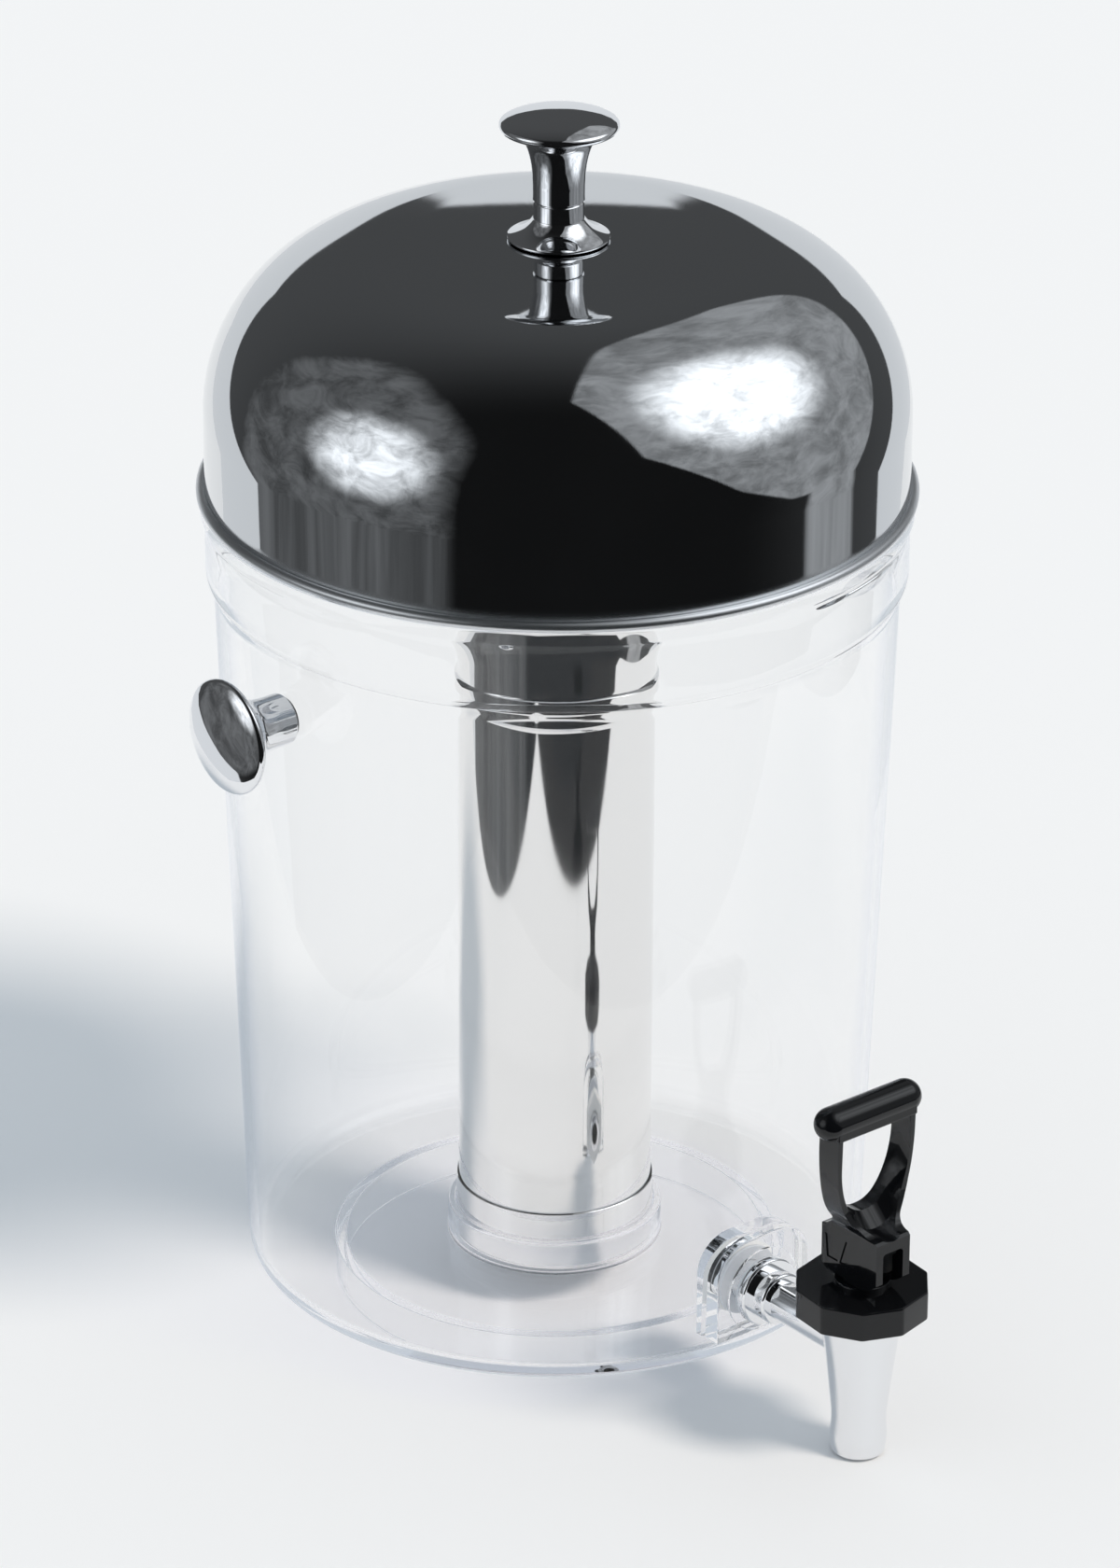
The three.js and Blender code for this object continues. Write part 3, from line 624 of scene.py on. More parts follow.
class Stock(Enum):
    """The finishes, each with the record's slot that it belongs to."""

    ACRYLIC = (ClearAcrylic(), "clear_plastic")
    LID_STEEL = (PolishedSteel("polished_steel_lid", roughness=0.02, hem=(299.0, 303.0)), "polished_steel")
    TUBE_STEEL = (PolishedSteel("polished_steel_tube", "#F0EFEE", smudge=0.04, line_mm=0.6), "polished_steel")
    CHROME = (ChromePlate(), "chrome")
    BLACK_ABS = (MouldedPlastic("gloss_black_abs", "#0A0B0D", "#0F1012", 0.07, grain_mm=2.5,
                                grain_depth_mm=0.012, index=1.42), "black_plastic")
    RUBBER = (MouldedPlastic("dark_rubber", "#26272A", "#2D2E31", 0.6), "dark_rubber")
    SILICONE = (MouldedPlastic("pale_silicone", "#DDE0E3", "#D2D6DA", 0.4, index=1.41), "pale_silicone")
    NYLON = (MouldedPlastic("white_nylon", "#F0F0EE", "#E8E8E5", 0.35, index=1.53), "white_plastic")
    PLAIN_STEEL = (PolishedSteel("plain_steel_wire", "#B4B6B8", 0.22, line_mm=0.3, line_length=4.0),
                   "plain_steel")


_MADE: dict[Stock, Material] = {}


def dress(piece: Object, stock: Stock) -> None:
    """Gives a piece its finish, whose material is built the first time it is asked for.

    Args:
        piece: The piece or CAD node.
        stock: Its finish.
    """
    if stock not in _MADE:
        _MADE[stock] = stock.value[0].make()
    piece.data.materials.clear()
    piece.data.materials.append(_MADE[stock])


def fit(piece: Object, stock: Stock, body: str, *nodes: str) -> None:
    """Gives a piece its finish and its body, and hides the CAD nodes it stands for.

    Args:
        piece: The finished piece.
        stock: Its finish.
        body: The CAD body it rides on.
        nodes: The CAD nodes it replaces.
    """
    dress(piece, stock)
    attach(piece, body)
    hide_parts(*nodes)
    log.info("%s: %d faces", piece.name, len(piece.data.polygons))


def keep(stock: Stock, *nodes: str) -> None:
    """Gives CAD nodes that stay in view their finish.

    Args:
        stock: The finish.
        nodes: The nodes' names.
    """
    for node in nodes:
        dress(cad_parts[node], stock)
        log.info("%s keeps its CAD solid", node)


# The dispenser's sub-assemblies, all sizes in mm

@dataclass(frozen=True)
class Container:
    """The clear container: a slightly tapered wall, a foot ring, a rim band, a collar and the tap's boss."""

    wall: float = 3.0
    floor: float = 4.0
    foot_height: float = 14.5
    foot_radius: float = 76.0
    foot_wall: float = 3.2
    base_radius: float = 106.1
    top_radius: float = 114.7
    wall_top: float = 265.0
    ring_shares: tuple[float, ...] = (0.17, 0.22, 0.34, 0.5, 0.66, 0.82)
    corner: float = 6.0
    inner_corner: float = 4.0
    band_radius: float = 117.3
    band_wall: float = 4.1
    # Where the steps under the band start, bend and end: out and up from the wall's top, or only up.
    outer_step: Bow = ((0.1, 1.0), (2.1, 1.5), (2.6, 5.0))
    inner_step: Trio = (8.0, 3.0, -4.0)
    # The swell up to the rim starts, bends and ends this far below it.
    swell: Trio = (12.3, 6.0, 4.1)
    rim: float = 295.3
    rim_radius: float = 118.9
    lip_radius: float = 115.75
    lip_wall: float = 2.6
    lip_height: float = 7.7
    collar_bore: float = 34.4
    collar_wall: float = 2.5
    collar_height: float = 10.9
    edge: float = 0.8
    boss_half: float = 20.0
    boss_low: float = 25.0
    boss_high: float = 60.5
    boss_corner: float = 13.0
    boss_edge: float = 0.7
    boss_face: float = 110.8
    boss_back: float = 98.5
    boss_overrun: float = 5.0
    recess: Spot = (15.0, 1.5)
    shank_bore: float = 7.3
    post_radius: float = 5.0
    post_span: Spot = (112.5, 124.0)
    stud_hole: Spot = (2.8, 115.0)

    def rings(self, inset: float) -> list[Spot]:
        """Places up the wall that keep the faces by the boss short.

        Args:
            inset: How far they stand inside the wall's outer face.

        Returns:
            Radius and height of each, from the lowest up.
        """
        foot = self.foot_height + self.corner
        draft = (self.top_radius - self.base_radius) / (self.wall_top - foot)
        heights = [foot + (self.wall_top - foot) * share for share in self.ring_shares]
        return [(self.base_radius - inset + draft * (height - foot), height) for height in heights]

    def outline(self) -> list[Spot]:
        """The wall's outline.

        Returns:
            Its points from the axis under the floor to the axis above it.
        """
        edge, low, rim = self.edge, self.foot_height, self.rim
        floor_top, lip_top = low + self.floor, rim + self.lip_height
        foot_in, foot_out = self.foot_radius - self.foot_wall, self.foot_radius
        lip_in, lip_out = self.lip_radius - self.lip_wall, self.lip_radius
        collar_out, collar_top = self.collar_bore + self.collar_wall, floor_top + self.collar_height
        band_out, band_in = self.band_radius, self.band_radius - self.band_wall
        outer_step = [(self.top_radius + out, self.wall_top + up) for out, up in self.outer_step]
        inner_step = [self.wall_top + up for up in self.inner_step]
        swell = [rim - down for down in self.swell]
        return [
            (0, low), (foot_in - edge, low), *rounded((foot_in, low), edge, 90, 0, 5),
            *rounded((foot_in, 0), edge, 180, 270, 5), *rounded((foot_out, 0), edge, -90, 0, 5),
            *rounded((foot_out, low), edge, 180, 90, 5),
            *rounded((self.base_radius, low), self.corner, -90, 0, 10),
            *self.rings(0), (self.top_radius, self.wall_top), *bow(*outer_step, 5),
            *bow((band_out, swell[0]), (band_out, swell[1]), (self.rim_radius, swell[2]), 5),
            *rounded((self.rim_radius, rim), edge, 0, 90),
            (lip_out, rim), *rounded((lip_out, lip_top), edge, 0, 90, 4),
            *rounded((lip_in, lip_top), edge, 90, 180, 4),
            *bow((band_in, inner_step[0]), (band_in, inner_step[1]),
                 (self.top_radius - self.wall, inner_step[2]), 6),
            *reversed(self.rings(self.wall)),
            *rounded((self.base_radius - self.wall, floor_top), self.inner_corner, 0, -90, 8),
            *rounded((collar_out, floor_top), edge, 270, 180),
            *rounded((collar_out, collar_top), edge, 0, 90),
            *rounded((self.collar_bore, collar_top), edge, 90, 180),
            (self.collar_bore, floor_top), (0, floor_top),
        ]

    def post(self) -> list[Spot]:
        """The outline of a side knob's post, with the blind hole for the stud.

        Returns:
            Its points from the hole's floor round to the foot inside the wall.
        """
        start, end = self.post_span
        hole, hole_floor = self.stud_hole
        return [(0, hole_floor), (hole, hole_floor), (hole, end), (self.post_radius, end),
                (self.post_radius, start), (0, start)]

    def boss(self) -> Object:
        """The arched block that gives the tap a flat seat.

        Returns:
            The block.
        """
        half = [(self.boss_half, self.boss_low),
                *rounded((self.boss_half, self.boss_high), self.boss_corner, 0, 90, 10)]
        block = slab("boss", front_outline(half, self.boss_back), TO_TAP * (self.boss_face - self.boss_back))
        return round_edges(block, self.boss_edge, angle=50)

    def build(self) -> None:
        """Makes the container."""
        piece = turn("container_shell", self.outline(), CONTAINER_SPINDLE, BIG_STEPS)
        recess_radius, recess_depth = self.recess
        recess = disc(recess_radius, self.boss_face - recess_depth, self.boss_face + self.boss_overrun)
        hole = disc(self.shank_bore, self.boss_back - self.boss_overrun, self.boss_face)
        work(piece, Pull.JOIN, self.boss())
        work(piece, Pull.CUT, turn("recess", recess, SHANK_SPINDLE, steps=64),
             turn("shank_hole", hole, SHANK_SPINDLE, steps=48))
        for spindle in KNOB_SPINDLES.values():
            work(piece, Pull.JOIN, turn("post", self.post(), spindle, steps=32))
        polish(clean(piece))
        fit(piece, Stock.ACRYLIC, "container_body", "container")


@dataclass(frozen=True)
class Lid:
    """The domed lid of thin sheet with a rolled bead, and the fixings of the knob on its crown."""

    skirt_radius: float = 117.2
    sheet: float = 0.8
    bead_height: float = 297.4
    bead_radius: float = 1.8
    bead_offset: float = 1.0
    skirt_top: float = 324.7
    knuckle: float = 57.0
    crown: float = 384.1
    crown_steps: int = 12
    hole: float = 2.8

    def curve(self, inset: float) -> list[Spot]:
        """One side of the sheet.

        Args:
            inset: How far it lies inside the outer face.

        Returns:
            Its outline from the crown's hole down to the skirt.
        """
        edge = self.skirt_radius - self.knuckle
        bend = self.knuckle - inset
        rise = self.crown - self.skirt_top - self.knuckle
        across = [self.hole + (edge - self.hole) * i / self.crown_steps for i in range(self.crown_steps)]
        crown = [(r, self.skirt_top + bend + rise * (1 - (r / edge) ** 2)) for r in across]
        return [*crown, *arc((edge, self.skirt_top), bend, 87, 0, 40)]

    def build(self) -> None:
        """Makes the dome and dresses the knob's fixings."""
        bead = (self.skirt_radius + self.bead_offset, self.bead_height)
        outline = [*self.curve(0), *arc(bead, self.bead_radius, 124, -180, 18),
                   *reversed(self.curve(self.sheet))]
        piece = polish(turn("lid_shell", outline, CONTAINER_SPINDLE, BIG_STEPS, closed=True), 40)
        fit(piece, Stock.LID_STEEL, "lid_body", "lid_dome")
        keep(Stock.PLAIN_STEEL, "lid_knob_washer", "lid_knob_screw")


@dataclass(frozen=True)
class KnobHead:
    """The head that all knobs share: a flare up from the neck, a round rim and a low dome."""

    radius: float
    edge: float
    dome: float
    # The flare bends this far out of the neck and below the rim, and ends inside the rim and below it.
    bend: Spot
    end: Spot
    dome_shares: tuple[float, ...] = (0.85, 0.7, 0.55, 0.4, 0.25, 0.12)

    def outline(self, neck: Spot, rim: float) -> list[Spot]:
        """The head's outline.

        Args:
            neck: Radius and height where the flare starts.
            rim: The rim's height.

        Returns:
            The points from the neck to the middle of the top.
        """
        across = [self.radius * share for share in self.dome_shares]
        rise = self.dome - self.edge
        bend = (neck[0] + self.bend[0], rim - self.bend[1])
        end = (self.radius - self.end[0], rim - self.end[1])
        return [*bow(neck, bend, end, 6)[1:], *arc((self.radius - self.edge, rim), self.edge, -70, 72, 8),
                *[(r, rim + self.edge + rise * (1 - (r / self.radius) ** 2)) for r in across],
                (0, rim + self.dome)]


@dataclass(frozen=True)
class LidKnob:
    """The lid's knob in two pieces, a flanged foot and a flared head."""

    low: float = 384.4
    split: float = 397.4
    split_gap: float = 0.3
    chamfer: float = 0.4
    flange: float = 17.0
    flange_edge: float = 0.6
    flange_drop: float = 0.5
    foot_rise: float = 3.2
    foot_bend: float = 10.4
    foot_end: float = 4.2
    lower_stem: float = 8.4
    upper_stem: float = 8.7
    bore: float = 2.8
    flare: Spot = (403.5, 410.5)
    neck: Spot = (10.9, 416.4)
    rim: float = 423.3
    head: KnobHead = KnobHead(19.8, 1.5, 4.9, bend=(1.6, 3.2), end=(2.0, 1.5))

    def build(self) -> None:
        """Makes the foot and the head."""
        cut, lower, upper = self.chamfer, self.lower_stem, self.upper_stem
        shelf = (self.flange - self.flange_drop, self.low + self.flange_edge + cut)
        top = self.low + self.foot_rise
        foot = [(self.bore, self.low), *rounded((self.flange, self.low), self.flange_edge, -90, 30, 5),
                *bow(shelf, (self.foot_bend, top), (lower, top + self.foot_end), 14),
                (lower, self.split - cut), (lower - cut, self.split), (self.bore, self.split)]
        start = self.split + self.split_gap
        head = [(0, start), (upper - cut, start), (upper, start + cut),
                *bow((upper, self.flare[0]), (upper, self.flare[1]), self.neck, 8),
                *self.head.outline(self.neck, self.rim)]
        piece = polish(turn("lid_knob_foot", foot, CONTAINER_SPINDLE, closed=True))
        fit(piece, Stock.CHROME, "lid_body", "lid_knob_base")
        fit(polish(turn("lid_knob_grip", head, CONTAINER_SPINDLE)), Stock.CHROME, "lid_body", "lid_knob_head")


@dataclass(frozen=True)
class IceTube:
    """The steel ice tube: a rolled rim, a raised band near the top and a cup pressed over its foot."""

    radius: float = 33.3
    sheet: float = 0.8
    top: float = 292.0
    rim: float = 1.2
    band_high: float = 231.4
    band_low: float = 221.7
    band_rise: float = 1.0
    # The band's sides start, bend and end this far inside its heights.
    band_step: Trio = (-1.0, 0.4, 1.4)
    foot: float = 19.9
    cup_low: float = 18.8
    cup_top: float = 40.2
    cup_gap: float = 0.3
    cup_sheet: float = 0.5
    cup_floor: float = 0.8
    cup_corner: float = 1.2
    cup_lip: Spot = (0.25, 0.3)

    def band(self, radius: float) -> list[Spot]:
        """One side of the sheet across the band.

        Args:
            radius: That side's radius.

        Returns:
            Its outline from below the band to above it.
        """
        rise = radius + self.band_rise
        low = [self.band_low + step for step in self.band_step]
        high = [self.band_high - step for step in self.band_step]
        return [*bow((radius, low[0]), (radius, low[1]), (rise, low[2]), 4),
                *bow((rise, high[2]), (radius, high[1]), (radius, high[0]), 4)]

    def build(self) -> None:
        """Makes the tube and its cup."""
        inner = self.radius - self.sheet
        tube = [(inner, self.foot), (self.radius, self.foot), *self.band(self.radius),
                *arc((self.radius - self.sheet / 2, self.top - self.rim), self.rim, -60, 240, 14),
                *reversed(self.band(inner))]
        near = self.radius + self.cup_gap
        far, floor = near + self.cup_sheet, self.cup_low + self.cup_floor
        lip_in, lip_down = self.cup_lip
        cup = [(0, self.cup_low), *rounded((far, self.cup_low), self.cup_corner, -90, 0, 5),
               (far, self.cup_top - lip_down), (far - lip_in, self.cup_top), (near, self.cup_top - lip_down),
               (near, floor), (0, floor)]
        piece = polish(turn("ice_tube_sleeve", tube, CONTAINER_SPINDLE, TUBE_STEPS, closed=True))
        fit(piece, Stock.TUBE_STEEL, "ice_tube_body", "ice_tube")
        piece = polish(turn("ice_tube_cup", cup, CONTAINER_SPINDLE, TUBE_STEPS))
        fit(piece, Stock.TUBE_STEEL, "ice_tube_body", "ice_tube_base")


@dataclass(frozen=True)
class SideKnob:
    """A side knob: a mushroom of chrome over a dark washer, screwed to a post on the wall."""

    inner: float = 115.4
    bore: Spot = (5.3, 123.8)
    stem: float = 8.7
    edge: float = 0.9
    flare: Spot = (120.4, 124.9)
    neck: Spot = (10.0, 129.4)
    rim: float = 138.1
    head: KnobHead = KnobHead(19.5, 1.6, 4.9, bend=(2.2, 4.8), end=(2.0, 1.6))
    washer_radius: float = 7.4
    washer_sheet: float = 1.6
    washer_edge: float = 0.4

    def build(self, label: str, side: int) -> None:
        """Makes the knob and the washer of one side.

        Args:
            label: The side's name in the nodes.
            side: -1 for -X or 1 for +X.
        """
        spindle = KNOB_SPINDLES[side]
        bore, deep = self.bore
        knob = [(0, deep), (bore, deep), (bore, self.inner),
                *rounded((self.stem, self.inner), self.edge, -90, 0, 4),
                *bow((self.stem, self.flare[0]), (self.stem, self.flare[1]), self.neck, 6),
                *self.head.outline(self.neck, self.rim)]
        fit(polish(turn(f"side_knob_grip_{label}", knob, spindle)), Stock.CHROME, "container_body",
            f"side_knob_{label}")
        wall = abs(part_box(f"side_knob_washer_{label}")[side < 0].x) / MM
        low = min(wall, self.inner)
        washer = ring(bore, self.washer_radius, low, low + self.washer_sheet, self.washer_edge)
        piece = polish(turn(f"side_knob_gasket_{label}", washer, spindle, closed=True))
        fit(piece, Stock.RUBBER, "container_body", f"side_knob_washer_{label}")
        keep(Stock.PLAIN_STEEL, f"side_knob_stud_{label}")


@dataclass(frozen=True)
class Tap:
    """The chrome tap: shank, shoulder and spout in one casting, with its washers and back nut."""

    shank: float = 7.0
    shank_bore: float = 4.3
    shank_end: float = 87.0
    flange: Spot = (12.0, 3.2)
    flange_edge: float = 0.8
    flange_near: float = 111.1
    shoulder: Spot = (9.2, 6.5)
    shoulder_edge: float = 1.0
    edge: float = 0.5
    mouth: Spot = (9.1, 1.0)
    bead: Bow = ((9.15, 2.5), (9.65, 5.5), (9.55, 8.0))
    waist: Bow = ((9.5, 8.6), (9.15, 12.0), (9.3, 15.0))
    taper: Bow = ((9.4, 16.5), (11.5, 36.0), (14.0, 53.6))
    cup_neck: Spot = (14.9, 61.2)
    mouth_bore: Spot = (7.1, 14.0)
    throat: Spot = (5.4, 31.8)
    seat: Spot = (6.6, 33.0)
    chamber: Spot = (9.3, 11.8)
    seal_bore: float = 7.3
    seal_edge: float = 0.35
    outer_seal: float = 11.4
    inner_seal: float = 12.5
    nut_half: float = 12.5
    nut_face: float = 12.3
    nut_corner: Spot = (0.05, 1.3)

    def spout(self) -> list[Spot]:
        """The outline of the tapered spout.

        Returns:
            Its points from the mouth to the top of the neck.
        """
        neck, neck_top = self.cup_neck
        return [(0, self.mouth[1]), *rounded(self.mouth, self.edge, -90, 0), *bow(*self.bead, 5),
                *bow(*self.waist, 5), *bow(*self.taper, 10), (neck, self.taper[-1][1] + self.edge),
                self.cup_neck, (0, neck_top)]

    def inside(self) -> list[Spot]:
        """The outline of the spout's bore, the raised valve seat and the valve's chamber.

        Returns:
            Its points from below the mouth to above the neck.
        """
        low, high = self.mouth[1] - OVERRUN, self.cup_neck[1] + OVERRUN
        throat, seat_floor = self.throat
        seat, seat_top = self.seat
        chamber_low, chamber_high = self.chamber
        return [(0, low), (self.mouth_bore[0], low), self.mouth_bore, self.throat, (throat, seat_top),
                self.seat, (seat, seat_floor), (chamber_low, seat_floor),
                (chamber_high, self.taper[-1][1]), (chamber_high, high), (0, high)]

    def casting(self) -> Object:
        """The whole casting with its bores.

        Returns:
            The casting, shaded.
        """
        far = self.flange_near + self.flange[1]
        end = far + self.shoulder[1]
        shank = [(0, self.shank_end), (self.shank - self.edge, self.shank_end),
                 (self.shank, self.shank_end + self.edge), (self.shank, self.flange_near),
                 *rounded((self.flange[0], self.flange_near), self.edge, -90, 0),
                 *rounded((self.flange[0], far), self.flange_edge, 0, 90, 4), (self.shoulder[0], far),
                 *rounded((self.shoulder[0], end), self.shoulder_edge, 0, 90, 4),
                 (self.shank, end), (self.shank, TAP_REACH), (0, TAP_REACH)]
        bore = disc(self.shank_bore, self.shank_end - OVERRUN, TAP_REACH)
        body = turn("tap_casting", self.spout(), TAP_SPINDLE)
        work(body, Pull.JOIN, turn("shank", shank, SHANK_SPINDLE))
        work(body, Pull.CUT, turn("chamber", self.inside(), TAP_SPINDLE, steps=56),
             turn("bore", bore, SHANK_SPINDLE, steps=36))
        return polish(clean(body))

    def back_nut(self) -> Object:
        """The white hexagon nut inside the container, with its corners turned down.

        Returns:
            The nut, shaded.
        """
        near, far = reaches("tap_back_nut")
        gap, corner = self.nut_corner
        outer = self.nut_half / math.cos(math.radians(30))
        outline = [(0, near), (self.nut_face, near), (outer + gap, near + corner),
                   (outer + gap, far - corner), (self.nut_face, far), (0, far)]
        hole = disc(self.seal_bore, near - OVERRUN, far + OVERRUN)
        hexagon = turn("tap_hexagon_nut", disc(outer, near, far), SHANK_SPINDLE, steps=6)
        work(hexagon, Pull.SHARE, turn("barrel", outline, SHANK_SPINDLE))
        work(hexagon, Pull.CUT, turn("hole", hole, SHANK_SPINDLE, steps=48))
        return polish(clean(hexagon), 25)

    def build(self) -> None:
        """Makes the casting and its fittings, and dresses what works inside it."""
        fit(self.casting(), Stock.CHROME, "container_body", "tap_body")
        for label, outer in (("outer", self.outer_seal), ("inner", self.inner_seal)):
            outline = ring(self.seal_bore, outer, *reaches(f"tap_{label}_washer"), self.seal_edge)
            piece = polish(turn(f"tap_{label}_seal", outline, SHANK_SPINDLE, closed=True))
            fit(piece, Stock.SILICONE, "container_body", f"tap_{label}_washer")
        fit(self.back_nut(), Stock.NYLON, "container_body", "tap_back_nut")
        keep(Stock.SILICONE, "valve_seat_cup")
        keep(Stock.NYLON, "valve_stem")
        keep(Stock.PLAIN_STEEL, "valve_spring")


@dataclass(frozen=True)
class BonnetNut:
    """The ten-sided black nut over the valve, with a round hub for the lever's foot."""

    radius: float = 22.9
    sides: int = 10
    turned: float = -5.0
    low: float = 53.9
    high: float = 64.4
    chamfer: float = 0.8
    hub: float = 9.5
    hub_rise: float = 1.8
    hub_sink: float = 2.0
    hub_edge: float = 0.5
    socket: float = 15.4
    roof: float = 2.8
    guide: float = 3.75

    def build(self) -> None:
        """Makes the nut."""
        bpy.ops.object.select_all(action="DESELECT")
        bpy.ops.mesh.primitive_cylinder_add(
            vertices=self.sides, radius=self.radius * MM, depth=(self.high - self.low) * MM,
            location=Vector((0, TAP_Y, (self.high + self.low) / 2)) * MM,
            rotation=(0, 0, math.radians(self.turned)))
        piece = bpy.context.active_object
        piece.name = piece.data.name = "bonnet_nut_cap"
        bpy.ops.object.transform_apply(location=True, rotation=True, scale=True)
        round_edges(piece, self.chamfer, angle=30, segments=2)
        hub_low, hub_top = self.high - self.hub_sink, self.high + self.hub_rise
        hub = [(0, hub_low), (self.hub, hub_low),
               *rounded((self.hub, hub_top), self.hub_edge, 0, 90, 4), (0, hub_top)]
        socket = disc(self.socket, self.low - OVERRUN, self.high - self.roof)
        work(piece, Pull.JOIN, turn("hub", hub, TAP_SPINDLE, steps=64))
        work(piece, Pull.CUT, turn("socket", socket, TAP_SPINDLE, steps=64),
             turn("guide", disc(self.guide, self.low, hub_top + OVERRUN), TAP_SPINDLE, steps=48))
        fit(polish(clean(piece), 28), Stock.BLACK_ABS, "container_body", "bonnet_nut")


@dataclass(frozen=True)
class Lever:
    """The black stirrup lever: a cam block on the hub, two arms round a finger opening and a grip bar."""

    foot: float = 66.5
    foot_step: float = 1.0
    heel: Spot = (2.5, 3.0)
    pin: float = 77.9
    pin_rise: float = 11.4
    pin_hole: Spot = (1.7, 5.9)
    cam_rate: float = 5.2
    cam_end: float = 46.0
    cam_steps: int = 16
    block_half: float = 7.3
    block_back: float = 12.3
    shoulder: float = 83.9
    front_top: float = 85.5
    slot: Spot = (4.35, 81.7)
    slot_back: float = 4.0
    slot_corner: float = 1.2
    slot_run: float = 24.0
    arm_back: float = 4.4
    arm_front: float = 5.0
    # Places in the curves from the block up to the arms, seen from the side; the first is measured in
    # from the cam's front, and the others are heights.
    front_start: Spot = (1.0, 86.3)
    front_bend: float = 87.1
    front_end: float = 100.9
    back_start: float = 95.9
    back_bend: float = 85.9
    # Places in the arms' outer curves, seen from the front.
    cheek: Bow = ((7.3, 85.8), (8.0, 88.6), (10.2, 90.9))
    arm_low: Bow = ((10.2, 90.9), (13.3, 94.2), (14.6, 99.5))
    arm_high: Bow = ((14.6, 99.5), (16.6, 107.6), (16.8, 118.4))
    top_half: float = 16.8
    opening_low: Bow = ((0.4, 91.6), (6.8, 91.6), (11.4, 101.0))
    opening_high: Bow = ((11.4, 101.0), (14.5, 107.6), (14.8, 116.0))
    # The opening's floor runs forward and falls by these steps to the block's front edge, as a saddle.
    saddle: tuple[Spot, ...] = ((13.9, 0.0), (5.2, -4.9), (9.0, -1.2), (4.0, -0.2))
    bar: float = 128.4
    bar_shift: float = 0.7
    bar_radius: float = 5.8
    bar_half: float = 15.9
    bar_flats: tuple[Spot, ...] = ((-2.0, -5.0), (5.5, -5.0), (5.2, 2.8), (0.0, 2.8))
    bar_flats_half: float = 17.3
    bar_edge: float = 0.7
    pocket: float = 0.45
    pocket_rear: tuple[Spot, ...] = ((-10.6, 80.7), (-9.6, 72.2), (-4.4, 72.2), (-1.5, 81.2))
    pocket_front: tuple[Spot, ...] = ((-0.5, 81.3), (-3.4, 72.2), (-1.0, 72.2), (9.3, 80.7), (9.3, 81.6))
    edge: float = 0.55
    merge: float = 2e-5

    def cam(self) -> list[Spot]:
        """The foot's rolling curve, which lifts the pin evenly as the lever tilts.

        Returns:
            Its points as reach from the tap's axis and height, from the foot to the front.
        """
        turns = [math.radians(self.cam_end * i / self.cam_steps) for i in range(self.cam_steps + 1)]
        heights = [self.pin_rise + self.cam_rate * t for t in turns]
        return [(self.cam_rate * math.cos(t) + h * math.sin(t), self.pin + self.cam_rate * math.sin(t)
                 - h * math.cos(t)) for t, h in zip(turns, heights)]

    def side(self) -> list[Spot]:
        """The lever seen from the side.

        Returns:
            Its corners as reach from the tap's axis and height.
        """
        cam, step = self.cam(), self.foot_step
        front, back = cam[-1][0], -self.block_back
        return [
            (back, self.foot + self.heel[1]), (back + self.heel[0], self.foot + step),
            (-step, self.foot + step), (-step, self.foot), *cam, (front, self.front_top),
            *bow((front - self.front_start[0], self.front_start[1]), (self.arm_front, self.front_bend),
                 (self.arm_front, self.front_end), 12),
            (self.bar_shift + self.arm_front, self.bar), (self.bar_shift - self.arm_back, self.bar),
            *bow((-self.arm_back, self.back_start), (-self.arm_back, self.back_bend),
                 (back, self.shoulder), 10),
        ]

    def front(self) -> list[Spot]:
        """The right half of the lever seen from the front, from its foot to the grip."""
        return [(self.block_half, self.foot - OVERRUN), *bow(*self.cheek, 6), *bow(*self.arm_low, 10)[1:],
                *bow(*self.arm_high, 10)[1:], (self.top_half, self.bar)]

    def opening(self) -> list[Spot]:
        """The right half of the finger opening, from its lowest point up."""
        return [*bow(*self.opening_low, 12), *bow(*self.opening_high, 10)[1:],
                (self.opening_high[-1][0], self.bar + OVERRUN)]

    def pockets(self) -> list[Object]:
        """Cutters for the shallow pockets in the cheeks, split by a thin rib.

        Returns:
            The cutters.
        """
        inner, run = self.block_half - self.pocket, self.pocket + OVERRUN
        return [slab("pocket", sides_outline(spots, side * inner), RIGHT * side * run)
                for spots in (self.pocket_rear, self.pocket_front) for side in (-1, 1)]

    def grip(self) -> Object:
        """The grip bar: round with ball ends, squared below to a flat front and underside.

        Returns:
            The bar.
        """
        spindle = Spindle(Vector((0, TAP_Y - self.bar_shift, self.bar)), RIGHT, UP)
        capsule = [*arc((0, -self.bar_half), self.bar_radius, -90, 0, 14),
                   *arc((0, self.bar_half), self.bar_radius, 0, 90, 14)]
        flats = [(self.bar_shift + reach, self.bar + up) for reach, up in self.bar_flats]
        bar = turn("grip", capsule, spindle, steps=64)
        half = self.bar_flats_half
        squared = slab("squared", sides_outline(flats, -half), RIGHT * 2 * half)
        return work(bar, Pull.JOIN, round_edges(squared, self.bar_edge, angle=40))

